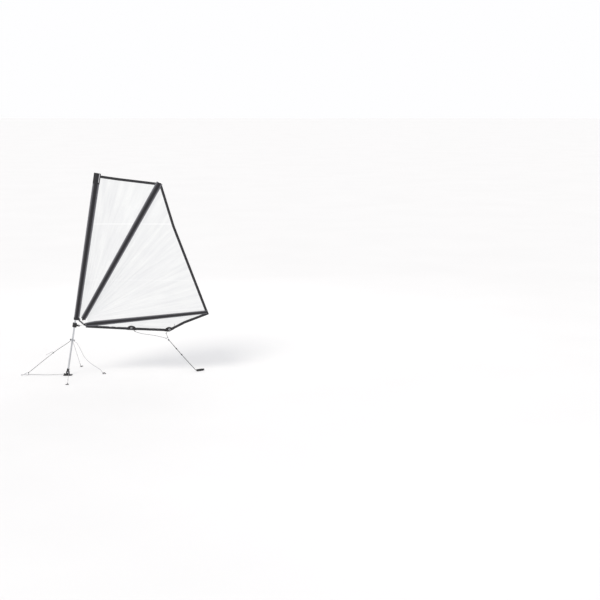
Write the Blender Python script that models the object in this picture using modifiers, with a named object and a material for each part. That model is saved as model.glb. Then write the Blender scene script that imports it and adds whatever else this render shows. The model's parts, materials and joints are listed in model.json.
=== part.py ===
"""Fan sail for a canoe: a raked mast on a hinged deck foot, with a sail of three cloth panels.

A luff sleeve turns about the mast. A sprit and a boom run out from the tack like the ribs of a fan.
The frame has its origin under the mast foot: +X runs aft, +Y to the far side and +Z up.
"""

import math

import bmesh
import bpy
from mathutils import Matrix, Vector

# Running clearance and small allowances
GAP = 0.0003
OVERRUN = 0.004
MERGE = 0.0001

# Mast foot on the deck
BASE_LENGTH = 0.076
BASE_WIDTH = 0.050
BASE_THICK = 0.006
BASE_EDGE = 0.002
EAR_LENGTH = 0.030
EAR_THICK = 0.006
HINGE_HEIGHT = 0.030
PIN_RADIUS = 0.003
PIN_HEAD_RADIUS = 0.0055
PIN_HEAD_THICK = 0.002
PIN_CLEARANCE = 0.0004
SCREW_RADIUS = 0.002
SCREW_HEAD_RADIUS = 0.0042
SCREW_HEAD_THICK = 0.0022
SCREW_INSET = 0.008
BECKET_LENGTH = 0.016
BECKET_THICK = 0.006
BECKET_HEIGHT = 0.014
BECKET_HOLE = 0.0034

# Mast
MAST_RAKE = math.radians(9.84)
MAST_LENGTH = 1.8267
MAST_RADIUS = 0.008
MAST_WALL = 0.0012
HEEL_LENGTH = 0.045
HEEL_FLANGE = 0.0115
HEEL_FLANGE_THICK = 0.006
HEEL_REACH = 0.032
TONGUE_WIDTH = 0.0115
TONGUE_RADIUS = 0.011
MAST_CAP_THICK = 0.008
MAST_CAP_DEPTH = 0.025
STAY_PLATE_REACH = 0.2993
STAY_PLATE_RADIUS = 0.023
STAY_PLATE_THICK = 0.003
STAY_HUB_RADIUS = 0.0125
STAY_HUB_LENGTH = 0.018
STAY_HOLE_CLEARANCE = 0.0007
STAY_HOLE_REACH = 0.0182

# Collar on the mast: reaches are distances along the mast from its hinge
COLLAR_REACH = 0.4414
COLLAR_RADIUS = 0.0195
COLLAR_LENGTH = 0.039
COLLAR_BEVEL = 0.0015
COLLAR_CLEARANCE = 0.0004
COLLAR_EYE_REACH = 0.0400
COLLAR_EYE_RADIUS = 0.0085
COLLAR_EYE_HOLE = 0.0040
COLLAR_EYE_THICK = 0.005

# Luff sleeve: it stands above the collar and its cap rests on the mast's head
LUFF_STAND_OFF = 0.0281
LUFF_BOTTOM_REACH = COLLAR_REACH + COLLAR_LENGTH / 2 + LUFF_STAND_OFF
LUFF_CAP_THICK = 0.003
LUFF_TOP_REACH = MAST_LENGTH + GAP + LUFF_CAP_THICK
LUFF_HEM_LENGTH = 0.022
LUFF_HEAD_LENGTH = 0.096
LUFF_FRONT_LOW = 0.0160
LUFF_FRONT_HIGH = 0.0245
LUFF_AFT_LOW = 0.0330
LUFF_AFT_HIGH = 0.0360
LUFF_HALF_THICK = 0.0122
CLOTH_WALL = 0.0010
BAND_WALL = 0.0014

# Tack fittings
STRAP_WIDTH = 0.010
STRAP_THICK = 0.0018
STRAP_LAP = 0.016
STRAP_BEND = (0.1345, 0.4940)
LASHING_RADIUS = 0.0012
LASHING_TURN = 0.0060

# Sprit: its heel is the pivot near the tack
SPRIT_HEEL = (0.1509, 0.5145)
SPRIT_LEAN = math.radians(30.16)
SPRIT_LENGTH = 1.390
SPRIT_RADIUS = 0.0070
SPRIT_HALF_LOW = 0.0225
SPRIT_HALF_HIGH = 0.0285

# Boom: its heel is the pivot below the sprit's
BOOM_HEEL = (0.1613, 0.4686)
BOOM_LEAN = math.radians(84.05)
BOOM_LENGTH = 1.091
BOOM_RADIUS = 0.0070
BOOM_HALF_HEEL = 0.0150
BOOM_HALF_FULL = 0.0230
BOOM_HALF_CLEW = 0.0155
BOOM_TAPER_END = 0.100

POLE_WALL = 0.0010
SLEEVE_START = 0.012
SLEEVE_CLEARANCE = 0.0004
HEEL_BALL = 0.0092
PLUG_DEPTH = 0.024
END_CAP_LENGTH = 0.006

# Sail outline, as X and Z from the luff sleeve's head, the sprit's end, the boom's heel and the boom's end
HEAD_FROM_LUFF = ((0.0253, -0.0201), (0.1858, -0.0431))
PEAK_FROM_SPRIT = (0.0297, 0.0277)
LEECH_FROM_SPRIT = ((0.0357, 0.0167), (0.1441, -0.3544))
FOOT_FROM_HEEL = ((0.0147, -0.0286), (0.3764, -0.0469), (0.7683, -0.0626))
FOOT_RISE_FROM_BOOM = (-0.1747, -0.1030)
CLEW_FROM_BOOM = (0.0430, -0.0186)
TAPE_WIDTH = 0.023
TAPE_THICK = 0.0016
CLOTH_THICK = 0.0006
UPPER_BELLY = 0.016
MAIN_BELLY = 0.030
BELLY_DRAFT_SHARE = 0.7
PANEL_MARGIN = 0.012
UPPER_LAP = 0.028

# Foot patches and sheet hooks
PATCH_RADIUS = 0.0455
PATCH_THICK = 0.0046
PATCH_REACHES = (0.588, 0.930)
PATCH_RISE = 0.0400
PATCH_LIP = 0.0022
EYELET_RISE = 0.0170
EYELET_RADIUS = 0.0062
EYELET_BORE = 0.0044
EYELET_FLANGE = 0.0092
EYELET_FLANGE_THICK = 0.0008
HOOK_WIRE = 0.0015
HOOK_HALF_WIDTH = 0.0078
HOOK_REACH = 0.038
HOOK_RUN_SHARES = ((0.70, -0.71), (-0.67, -0.74))

# Cord sizes
STAY_CORD = 0.0015
UPHAUL_CORD = 0.0020
SHEET_CORD = 0.0026
BRIDLE_CORD = 0.0018
TAIL_CORD = 0.0014
EASE_SHARES = (0.03, 0.10, 0.40)
TAIL_END = (-0.193, 0, 0.1871)
UPHAUL_KNOT = (-0.1265, 0, 0.2075)
KNOT_SIZE_SHARE = 2.2
KNOT_MINOR_SHARE = 1.7
KNOT_SEAT_SHARE = 0.5
KNOT_CLEAR_SHARE = 1.3
STAY_KNOT_SHARE = 0.93
SHEET_KNOT_SHARES = (
    (0, KNOT_SIZE_SHARE),
    (0.24, KNOT_SIZE_SHARE),
    (0.40, KNOT_MINOR_SHARE),
    (1, KNOT_SIZE_SHARE),
)
UPHAUL_WAY_SHARES = (0.82, 0, 0.57)
FALL_WAY_SHARES = (0.95, 0, -0.30)
TAIL_WAY_SHARES = (-0.6, 0, 0.8)
FORE_LEG_WAY_SHARES = (-0.94, 0, 0.34)
AFT_LEG_WAY_SHARES = (0.22, 0, 0.97)
KNOT_SHAPE_SHARES = ((-1.0, 0.45), (-0.6, 0.86), (0.0, 1.0), (0.6, 0.86), (1.0, 0.45))
ROUTE_STEPS = 40
BRIDLE_RING_AT = (0.9125, 0.3385)
BRIDLE_RING_RADIUS = 0.0075
BRIDLE_RING_WIRE = 0.0014
BRIDLE_LEFT_ROUTE = ((0.6815, 0, 0.3849), (0.7987, 0, 0.3675))
SHEET_ROUTE = (
    (0.9509, 0.0231, 0.2861),
    (0.9914, 0.0503, 0.2283),
    (1.0320, 0.0774, 0.1715),
    (1.0725, 0.1046, 0.1157),
    (1.1130, 0.1318, 0.0614),
)
DOWNHAUL_ROUTE = (
    (0.0860, 0, 0.3020),
    (0.1060, 0, 0.2700),
    (0.1250, 0.003, 0.2300),
    (0.1450, 0.008, 0.1830),
    (0.1700, 0.015, 0.1440),
    (0.2050, 0.026, 0.1060),
    (0.2480, 0.038, 0.0720),
    (0.2900, 0.048, 0.0390),
)

# Deck fittings away from the foot
SIDE_REACH = 0.060
SIDE_HALF_SPAN = 0.360
SIDE_RING_WIRE = 0.0020
SIDE_RING_SIZE = 0.030
BOW_RING_REACH = -0.372
BOW_RING_RADIUS = 0.011
BOW_RING_WIRE = 0.0018
BOW_HOOK_LENGTH = 0.046
BOW_HOOK_HALF_WIDTH = 0.0095
BOW_HOOK_WIRE = 0.0022
BOW_HOOK_SHARES = (
    (0.72, -1),
    (0.82, -0.96),
    (0.94, -0.70),
    (1, -0.25),
    (1, 0.25),
    (0.94, 0.70),
    (0.82, 0.97),
    (0.6, 1),
    (0.3, 0.86),
    (0.10, 0.62),
    (0, 0.30),
    (0, -0.30),
    (0.08, -0.72),
    (0.20, -1),
)
GATE_WIRE = 0.0015
FAIRLEAD_AT = (0.322, 0.054)
FAIRLEAD_LENGTH = 0.030
FAIRLEAD_WIDTH = 0.014
FAIRLEAD_THICK = 0.003
FAIRLEAD_WIRE = 0.0024
FAIRLEAD_RISE = 0.012
CLEAT_AT = (1.186, 0.180)
CLEAT_LENGTH = 0.066
CLEAT_WIDTH = 0.020
CLEAT_HEIGHT = 0.017
CLEAT_FLOOR = 0.007
CLEAT_SLOT_SHARE = 0.40
CLEAT_RIBS = 6
CLEAT_RIB_THICK = 0.0016
CLEAT_RIB_DEEP = 0.0010
CLEAT_BEVEL = 0.0015


X_WAY = Vector((1, 0, 0))
Y_WAY = Vector((0, 1, 0))
Z_WAY = Vector((0, 0, 1))


def clear_scene():
    for item in list(bpy.data.objects):
        bpy.data.objects.remove(item, do_unlink=True)


def new_collection(name):
    made = bpy.data.collections.new(name)
    bpy.context.scene.collection.children.link(made)
    return made


clear_scene()
PARTS = new_collection("canoe_sail")
CUTTERS = new_collection("cutters")


def material(name, colour, roughness, metallic=0.0):
    made = bpy.data.materials.new(name)
    made.use_nodes = True
    shader = made.node_tree.nodes["Principled BSDF"]
    shader.inputs["Base Color"].default_value = (*colour, 1.0)
    shader.inputs["Roughness"].default_value = roughness
    shader.inputs["Metallic"].default_value = metallic
    return made


ALUMINIUM = material("bright_aluminium", (0.72, 0.73, 0.75), 0.3, 1.0)
STEEL = material("stainless_steel", (0.62, 0.63, 0.65), 0.28, 1.0)
CARBON = material("carbon_tube", (0.02, 0.02, 0.022), 0.35)
NYLON = material("black_nylon", (0.018, 0.018, 0.02), 0.5)
SLEEVE_CLOTH = material("charcoal_sailcloth", (0.045, 0.045, 0.052), 0.8)
TAPE_CLOTH = material("black_tape", (0.03, 0.03, 0.034), 0.75)
SAIL_CLOTH = material("white_sailcloth", (0.88, 0.88, 0.92), 0.45)
PALE_CORD = material("pale_cord", (0.7, 0.7, 0.68), 0.8)
GREY_CORD = material("grey_cord", (0.08, 0.08, 0.085), 0.8)


def mast_point(reach, aft=0.0):
    """A point of the sail plane, by its distance along the mast from the hinge and its distance aft of it."""
    x = reach * math.sin(MAST_RAKE) + aft * math.cos(MAST_RAKE)
    z = HINGE_HEIGHT + reach * math.cos(MAST_RAKE) - aft * math.sin(MAST_RAKE)
    return Vector((x, 0, z))


def pole_point(heel, lean, reach, aft=0.0):
    """A point of the sail plane beside a pole that starts at its heel and leans aft from the vertical."""
    x = heel[0] + reach * math.sin(lean) + aft * math.cos(lean)
    z = heel[1] + reach * math.cos(lean) - aft * math.sin(lean)
    return Vector((x, 0, z))


def along(origin, lean):
    """The matrix of a local frame whose Z runs along a leaning pole and whose X points aft of it."""
    return Matrix.Translation(origin) @ Matrix.Rotation(lean, 4, "Y")


MAST_FRAME = along(mast_point(0), MAST_RAKE)
SPRIT_FRAME = along(pole_point(SPRIT_HEEL, SPRIT_LEAN, 0), SPRIT_LEAN)
BOOM_FRAME = along(pole_point(BOOM_HEEL, BOOM_LEAN, 0), BOOM_LEAN)


def pivot(name, frame):
    made = bpy.data.objects.new(name, None)
    PARTS.objects.link(made)
    made.matrix_world = frame
    return made


MAST_PIVOT = pivot("mast_pivot", MAST_FRAME)
SPRIT_PIVOT = pivot("sprit_pivot", SPRIT_FRAME)
BOOM_PIVOT = pivot("boom_pivot", BOOM_FRAME)


def place(item, finish, carrier=None, frame=None, collection=None):
    """Link an object, give it its finish and its place, and parent it to the pivot that carries it."""
    (collection or PARTS).objects.link(item)
    item.data.materials.append(finish)
    where = frame.copy() if frame else Matrix.Identity(4)
    if carrier:
        item.parent = carrier
        item.matrix_parent_inverse = carrier.matrix_world.inverted()
    item.matrix_world = where
    return item


def as_object(name, shape, smooth=True):
    """An object from a bmesh, which is freed."""
    mesh = bpy.data.meshes.new(name)
    shape.to_mesh(mesh)
    shape.free()
    if smooth:
        mesh.shade_smooth()
        mesh.set_sharp_from_angle(angle=math.radians(35))
    return bpy.data.objects.new(name, mesh)


def turned(name, profile, finish, steps=24, carrier=None, frame=None):
    """A solid of revolution about local Z, from a profile that runs down its outer side."""
    shape = bmesh.new()
    points = [shape.verts.new((radius, 0, height)) for radius, height in profile]
    closed = all(radius > 0 for radius, height in profile)
    for first, second in zip(points, points[1:]):
        shape.edges.new((first, second))
    if closed:
        shape.edges.new((points[-1], points[0]))
    item = as_object(name, shape, smooth=False)
    place(item, finish, carrier, frame)
    screw = item.modifiers.new("turn", "SCREW")
    screw.steps = steps
    screw.render_steps = steps
    screw.use_merge_vertices = True
    screw.merge_threshold = MERGE
    screw.use_smooth_shade = True
    return item


def hollow_profile(inner, outer, low, high):
    return [(outer, high), (outer, low), (inner, low), (inner, high)]


def cut(item, cutter, operation="DIFFERENCE"):
    """Cut, or join, an object with another one, which is kept as a hidden guide."""
    cutter.hide_render = True
    cutter.display_type = "WIRE"
    step = item.modifiers.new("cut", "BOOLEAN")
    step.operation = operation
    step.solver = "EXACT"
    step.object = cutter
    return item


def box(name, size, centre, finish, carrier=None, frame=None, guide=False, edge=0.0):
    shape = bmesh.new()
    bmesh.ops.create_cube(shape, size=1.0)
    bmesh.ops.scale(shape, vec=size, verts=shape.verts)
    bmesh.ops.translate(shape, vec=centre, verts=shape.verts)
    item = place(as_object(name, shape), finish, carrier, frame, CUTTERS if guide else None)
    if edge:
        bevel = item.modifiers.new("edge", "BEVEL")
        bevel.width = edge
        bevel.segments = 2
    return item


def rod(name, radius, length, centre, axis, finish, carrier=None, frame=None, guide=False, sides=20):
    """A cylinder about a local axis, as a solid or as a cutter."""
    shape = bmesh.new()
    bmesh.ops.create_cone(
        shape, cap_ends=True, segments=sides, radius1=radius, radius2=radius, depth=length
    )
    turn = Vector((0, 0, 1)).rotation_difference(Vector(axis)).to_matrix()
    bmesh.ops.rotate(shape, matrix=turn, verts=shape.verts)
    bmesh.ops.translate(shape, vec=centre, verts=shape.verts)
    return place(as_object(name, shape), finish, carrier, frame, CUTTERS if guide else None)


def plate(name, outline, thick, finish, carrier=None, side=0.0, guide=False):
    """A flat piece in the sail plane, from an outline of X and Z pairs, with its middle at Y = side."""
    curve = bpy.data.curves.new(name, "CURVE")
    curve.dimensions = "2D"
    curve.fill_mode = "BOTH"
    curve.extrude = thick / 2
    curve.resolution_u = 1
    line = curve.splines.new("POLY")
    line.points.add(len(outline) - 1)
    for point, (x, z) in zip(line.points, outline):
        point.co = (x, z, 0, 1)
    line.use_cyclic_u = True
    item = bpy.data.objects.new(name, curve)
    frame = Matrix.Translation((0, side, 0)) @ Matrix.Rotation(math.pi / 2, 4, "X")
    return place(item, finish, carrier, frame, CUTTERS if guide else None)


def meshed(item):
    """The mesh of a curve object, with its caps welded, in place of the curve."""
    bpy.context.view_layer.update()
    graph = bpy.context.evaluated_depsgraph_get()
    mesh = bpy.data.meshes.new_from_object(item.evaluated_get(graph))
    shape = bmesh.new()
    shape.from_mesh(mesh)
    bmesh.ops.remove_doubles(shape, verts=shape.verts, dist=MERGE)
    shape.to_mesh(mesh)
    shape.free()
    name, where, parent = item.name, item.matrix_world.copy(), item.parent
    collection = item.users_collection[0]
    bpy.data.objects.remove(item, do_unlink=True)
    made = bpy.data.objects.new(name, mesh)
    collection.objects.link(made)
    if parent:
        made.parent = parent
        made.matrix_parent_inverse = parent.matrix_world.inverted()
    made.matrix_world = where
    return made


def even(count):
    return [step / (count - 1) for step in range(count)]


def dense_route(points):
    """Close points of the smooth curve that passes through the given ones, and the length run at each."""
    spots = [Vector(point) for point in points]
    spots = [2 * spots[0] - spots[1]] + spots + [2 * spots[-1] - spots[-2]]
    dense = []
    for a, b, c, d in zip(spots, spots[1:], spots[2:], spots[3:]):
        for t in even(ROUTE_STEPS + 1)[:-1]:
            bend = (2 * a - 5 * b + 4 * c - d) * t**2 + (3 * b - a - 3 * c + d) * t**3
            dense.append(b + ((c - a) * t + bend) / 2)
    dense.append(spots[-2])
    lengths = [0.0]
    for first, second in zip(dense, dense[1:]):
        lengths.append(lengths[-1] + (second - first).length)
    return dense, lengths


def smooth_route(points, shares):
    """Points read at rising shares of the length of the smooth curve that passes through the given ones."""
    dense, lengths = dense_route(points)
    route = []
    index = 0
    for share in shares:
        target = lengths[-1] * share
        while index < len(lengths) - 2 and lengths[index + 1] < target:
            index += 1
        part = (target - lengths[index]) / (lengths[index + 1] - lengths[index])
        route.append(dense[index].lerp(dense[index + 1], min(1.0, max(0.0, part))))
    return route


def wire(name, points, radius, finish, carrier=None, cyclic=False, swell=None, resolution=2):
    """A round wire or cord along its points. swell gives each point's share of the radius."""
    curve = bpy.data.curves.new(name, "CURVE")
    curve.dimensions = "3D"
    curve.bevel_depth = radius
    curve.bevel_resolution = resolution
    curve.use_fill_caps = not cyclic
    curve.resolution_u = 1
    line = curve.splines.new("POLY")
    line.points.add(len(points) - 1)
    for index, (point, spot) in enumerate(zip(line.points, points)):
        point.co = (*spot, 1)
        point.radius = swell[index] if swell else 1.0
    line.use_cyclic_u = cyclic
    return place(bpy.data.objects.new(name, curve), finish, carrier)


def eased(start, target):
    """The start of a route, with points that keep it straight on to its target."""
    return start + [start[-1].lerp(target, share) for share in EASE_SHARES]


def cord(name, points, radius, finish, carrier=None, count=32, knots=()):
    """A cord on a smooth route. Each knot is a share of its length and a share of its radius."""
    length = dense_route(points)[1][-1]
    marks = {share: 1.0 for share in even(count)}
    for at, size in knots:
        reach = size * radius / length
        middle = min(max(at, reach), 1 - reach)
        clear = KNOT_CLEAR_SHARE * reach
        marks = {share: grown for share, grown in marks.items() if abs(share - middle) > clear}
        for step, fullness in KNOT_SHAPE_SHARES:
            marks[min(1.0, max(0.0, middle + step * reach))] = max(1.0, size * fullness)
    marks.setdefault(0.0, 1.0)
    marks.setdefault(1.0, 1.0)
    shares = sorted(marks)
    swell = [marks[share] for share in shares]
    return wire(name, smooth_route(points, shares), radius, finish, carrier, swell=swell)


def elliptic_tube(name, rings, finish, carrier, frame, wall=CLOTH_WALL, sides=20):
    """A sewn tube about local Z. Each ring is a height, a front edge, an aft edge and a half thickness."""
    shape = bmesh.new()
    bmesh.ops.create_circle(shape, segments=sides, radius=1.0)
    edges = shape.edges[:]
    loops = [shape.verts[:]]
    for _ in rings[1:]:
        grown = bmesh.ops.extrude_edge_only(shape, edges=edges)["geom"]
        edges = [part for part in grown if isinstance(part, bmesh.types.BMEdge) and part.is_boundary]
        loops.append([part for part in grown if isinstance(part, bmesh.types.BMVert)])
        edges = [edge for edge in edges if all(vert in loops[-1] for vert in edge.verts)]
    for loop, (height, front, aft, half) in zip(loops, rings):
        for vert in loop:
            vert.co = (
                (aft - front) / 2 + vert.co.x * (aft + front) / 2,
                vert.co.y * half,
                height,
            )
    bmesh.ops.recalc_face_normals(shape, faces=shape.faces)
    item = place(as_object(name, shape), finish, carrier, frame)
    shell = item.modifiers.new("wall", "SOLIDIFY")
    shell.thickness = wall
    shell.offset = -1.0
    shell.use_even_offset = True
    return item


def corner_shares(line):
    """The shares of an open outline's length at which its corners lie."""
    spans = [(Vector(b) - Vector(a)).length for a, b in zip(line, line[1:])]
    return [sum(spans[:index]) / sum(spans) for index in range(1, len(spans))]


def grid_shares(count, *lines):
    """Even shares from 0 to 1, with those nearest to the lines' corners moved onto them."""
    shares = [step / count for step in range(count + 1)]
    for corner in sorted(share for line in lines for share in corner_shares(line)):
        nearest = min(range(1, count), key=lambda index: abs(shares[index] - corner))
        shares[nearest] = corner
    return shares


def at_share(line, share):
    """The point of an open outline at a share of its length."""
    spans = [(Vector(b) - Vector(a)).length for a, b in zip(line, line[1:])]
    target = share * sum(spans)
    for (start, end), span in zip(zip(line, line[1:]), spans):
        if target <= span:
            return Vector(start).lerp(Vector(end), target / span)
        target -= span
    return Vector(line[-1])


def panel(name, low_line, high_line, left_line, right_line, counts, belly, carrier):
    """A cloth panel inside four outlines of the sail plane, with a belly that dies away at its edges."""
    across = grid_shares(counts[0], low_line, high_line)
    up = grid_shares(counts[1], left_line, right_line)
    shape = bmesh.new()
    bmesh.ops.create_grid(shape, x_segments=counts[0], y_segments=counts[1], size=0.5)
    for vert in shape.verts:
        u = across[round((vert.co.x + 0.5) * counts[0])]
        v = up[round((vert.co.y + 0.5) * counts[1])]
        sides = at_share(left_line, v) * (1 - u) + at_share(right_line, v) * u
        ends = at_share(low_line, u) * (1 - v) + at_share(high_line, u) * v
        low_corners = Vector(low_line[0]) * (1 - u) + Vector(low_line[-1]) * u
        high_corners = Vector(high_line[0]) * (1 - u) + Vector(high_line[-1]) * u
        spot = sides + ends - low_corners * (1 - v) - high_corners * v
        crown = belly * math.sin(math.pi * u) * math.sin(math.pi * v**BELLY_DRAFT_SHARE)
        vert.co = (spot.x, crown, spot.y)
    bmesh.ops.recalc_face_normals(shape, faces=shape.faces)
    item = place(as_object(name, shape), SAIL_CLOTH, carrier)
    shell = item.modifiers.new("cloth", "SOLIDIFY")
    shell.thickness = CLOTH_THICK
    shell.offset = 0.0
    return item


def inset_line(line, width):
    """An open outline moved to its right by a width, with mitred corners."""
    spots = [Vector(point) for point in line]
    sides = []
    for first, second in zip(spots, spots[1:]):
        run = (second - first).normalized()
        sides.append(Vector((run.y, -run.x)))
    moved = [spots[0] + sides[0] * width]
    for spot, before, after in zip(spots[1:-1], sides, sides[1:]):
        middle = (before + after).normalized()
        moved.append(spot + middle * (width / middle.dot(after)))
    moved.append(spots[-1] + sides[-1] * width)
    return moved


def crossing(first_span, second_span):
    """Where two straight spans cross, both taken as endless."""
    a, b = (Vector(point) for point in first_span)
    c, d = (Vector(point) for point in second_span)
    run, other = b - a, d - c
    cross = run.x * other.y - run.y * other.x
    share = ((c.x - a.x) * other.y - (c.y - a.y) * other.x) / cross
    return a + run * share


# Mast foot: a base plate with two ears, its pin and its screws
def make_mast_foot():
    ear_height = HINGE_HEIGHT - BASE_THICK + EAR_LENGTH / 2
    ear_side = TONGUE_WIDTH / 2 + GAP + EAR_THICK / 2
    base = box(
        "mast_foot_base", (BASE_LENGTH, BASE_WIDTH, BASE_THICK), (0, 0, BASE_THICK / 2), NYLON, edge=BASE_EDGE
    )
    for side in (-1, 1):
        ear = box(
            "ear_guide",
            (EAR_LENGTH, EAR_THICK, ear_height - EAR_LENGTH / 2 + OVERRUN),
            (0, side * ear_side, (HINGE_HEIGHT + BASE_THICK - OVERRUN) / 2),
            NYLON,
            guide=True,
        )
        cut(base, ear, "UNION")
        crown = rod(
            "ear_crown_guide",
            EAR_LENGTH / 2,
            EAR_THICK,
            (0, side * ear_side, HINGE_HEIGHT),
            (0, 1, 0),
            NYLON,
            guide=True,
        )
        cut(base, crown, "UNION")
    becket = box(
        "becket_guide",
        (BECKET_LENGTH, BECKET_THICK, BECKET_HEIGHT),
        (-BASE_LENGTH / 2 + BECKET_LENGTH / 2 + BASE_EDGE, 0, BASE_THICK + BECKET_HEIGHT / 2 - OVERRUN / 2),
        NYLON,
        guide=True,
        edge=BASE_EDGE / 2,
    )
    cut(base, becket, "UNION")
    span = 2 * (ear_side + EAR_THICK / 2)
    pin = (0, 0, HINGE_HEIGHT)
    cut(base, rod("pin_hole", PIN_RADIUS + GAP, span + OVERRUN, pin, (0, 1, 0), NYLON, guide=True))
    becket_x = -BASE_LENGTH / 2 + BECKET_LENGTH / 2 + BASE_EDGE
    becket_z = BASE_THICK + (BECKET_HEIGHT - OVERRUN / 2) / 2
    cut(
        base,
        rod(
            "becket_hole",
            BECKET_HOLE,
            BECKET_THICK + OVERRUN,
            (becket_x, 0, becket_z),
            (0, 1, 0),
            NYLON,
            guide=True,
        ),
    )
    pin = rod("foot_hinge_pin", PIN_RADIUS, span + 2 * GAP, (0, 0, HINGE_HEIGHT), (0, 1, 0), STEEL)
    for side in (-1, 1):
        head = rod(
            "pin_head_guide",
            PIN_HEAD_RADIUS,
            PIN_HEAD_THICK,
            (0, side * (span / 2 + GAP + PIN_HEAD_THICK / 2), HINGE_HEIGHT),
            (0, 1, 0),
            STEEL,
            guide=True,
        )
        cut(pin, head, "UNION")
    number = 0
    for x_side in (-1, 1):
        for y_side in (-1, 1):
            number += 1
            x = x_side * (BASE_LENGTH / 2 - SCREW_INSET)
            y = y_side * (BASE_WIDTH / 2 - SCREW_INSET)
            hole = rod(
                "screw_hole",
                SCREW_RADIUS + GAP,
                BASE_THICK + OVERRUN,
                (x, y, BASE_THICK / 2),
                (0, 0, 1),
                NYLON,
                guide=True,
            )
            cut(base, hole)
            seat = BASE_THICK + GAP
            top = seat + SCREW_HEAD_THICK
            profile = [
                (0, top),
                (SCREW_HEAD_RADIUS * 0.6, top),
                (SCREW_HEAD_RADIUS, seat + SCREW_HEAD_THICK * 0.4),
                (SCREW_HEAD_RADIUS, seat),
                (SCREW_RADIUS, seat),
                (SCREW_RADIUS, GAP),
                (0, GAP),
            ]
            turned(f"foot_screw_{number}", profile, STEEL, steps=16, frame=Matrix.Translation((x, y, 0)))


# Mast: heel with its tongue, tube, head plug and stay plate
def make_mast():
    inner = MAST_RADIUS - MAST_WALL
    plug = inner - GAP
    top = HEEL_REACH + HEEL_LENGTH
    profile = [
        (0, top),
        (plug, top),
        (plug, HEEL_REACH),
        (HEEL_FLANGE, HEEL_REACH),
        (HEEL_FLANGE, HEEL_REACH - HEEL_FLANGE_THICK),
        (0, HEEL_REACH - HEEL_FLANGE_THICK),
    ]
    heel = turned("mast_heel", profile, NYLON, carrier=MAST_PIVOT, frame=MAST_FRAME)
    tongue = box(
        "tongue_guide",
        (2 * TONGUE_RADIUS, TONGUE_WIDTH, HEEL_REACH - HEEL_FLANGE_THICK / 2),
        (0, 0, (HEEL_REACH - HEEL_FLANGE_THICK / 2) / 2),
        NYLON,
        frame=MAST_FRAME,
        guide=True,
    )
    cut(heel, tongue, "UNION")
    crown = rod(
        "tongue_crown_guide",
        TONGUE_RADIUS,
        TONGUE_WIDTH,
        (0, 0, 0),
        (0, 1, 0),
        NYLON,
        frame=MAST_FRAME,
        guide=True,
    )
    cut(heel, crown, "UNION")
    cut(
        heel,
        rod(
            "tongue_hole",
            PIN_RADIUS + PIN_CLEARANCE,
            TONGUE_WIDTH + OVERRUN,
            (0, 0, 0),
            (0, 1, 0),
            NYLON,
            frame=MAST_FRAME,
            guide=True,
        ),
    )
    low = HEEL_REACH + GAP
    high = MAST_LENGTH - MAST_CAP_THICK
    turned(
        "mast_tube",
        hollow_profile(inner, MAST_RADIUS, low, high),
        ALUMINIUM,
        carrier=MAST_PIVOT,
        frame=MAST_FRAME,
    )
    cap = [
        (0, MAST_LENGTH),
        (MAST_RADIUS * 0.7, MAST_LENGTH),
        (MAST_RADIUS, MAST_LENGTH - MAST_CAP_THICK * 0.4),
        (MAST_RADIUS, high + GAP),
        (plug, high + GAP),
        (plug, high - MAST_CAP_DEPTH),
        (0, high - MAST_CAP_DEPTH),
    ]
    turned("mast_head_plug", cap, NYLON, carrier=MAST_PIVOT, frame=MAST_FRAME)
    bore = MAST_RADIUS + GAP
    low = STAY_PLATE_REACH - STAY_HUB_LENGTH / 2
    high = STAY_PLATE_REACH + STAY_HUB_LENGTH / 2
    under = STAY_PLATE_REACH - STAY_PLATE_THICK / 2
    over = STAY_PLATE_REACH + STAY_PLATE_THICK / 2
    profile = [
        (STAY_HUB_RADIUS, high),
        (STAY_HUB_RADIUS, over),
        (STAY_PLATE_RADIUS, over),
        (STAY_PLATE_RADIUS, under),
        (STAY_HUB_RADIUS, under),
        (STAY_HUB_RADIUS, low),
        (bore, low),
        (bore, high),
    ]
    stay_plate = turned("stay_plate", profile, ALUMINIUM, steps=28, carrier=MAST_PIVOT, frame=MAST_FRAME)
    holes = ((1, 0, STAY_CORD), (-1, 0, UPHAUL_CORD), (0, 1, STAY_CORD), (0, -1, STAY_CORD))
    for across, out, radius in holes:
        cut(
            stay_plate,
            rod(
                "stay_hole",
                radius + STAY_HOLE_CLEARANCE,
                STAY_PLATE_THICK + OVERRUN,
                (across * STAY_HOLE_REACH, out * STAY_HOLE_REACH, STAY_PLATE_REACH),
                (0, 0, 1),
                NYLON,
                frame=MAST_FRAME,
                guide=True,
                sides=12,
            ),
        )


# Luff: the sleeve round the mast, its bands and cap, and the collar and strap at the tack
def luff_edges(reach):
    """The luff sleeve's front and aft edges, as distances from the mast's axis."""
    share = (reach - LUFF_BOTTOM_REACH) / (LUFF_TOP_REACH - LUFF_BOTTOM_REACH)
    front = LUFF_FRONT_LOW + (LUFF_FRONT_HIGH - LUFF_FRONT_LOW) * share
    aft = LUFF_AFT_LOW + (LUFF_AFT_HIGH - LUFF_AFT_LOW) * share
    return front, aft


def luff_ring(reach, grow=0.0):
    front, aft = luff_edges(reach)
    return reach, front + grow, aft + grow, LUFF_HALF_THICK + grow


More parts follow.
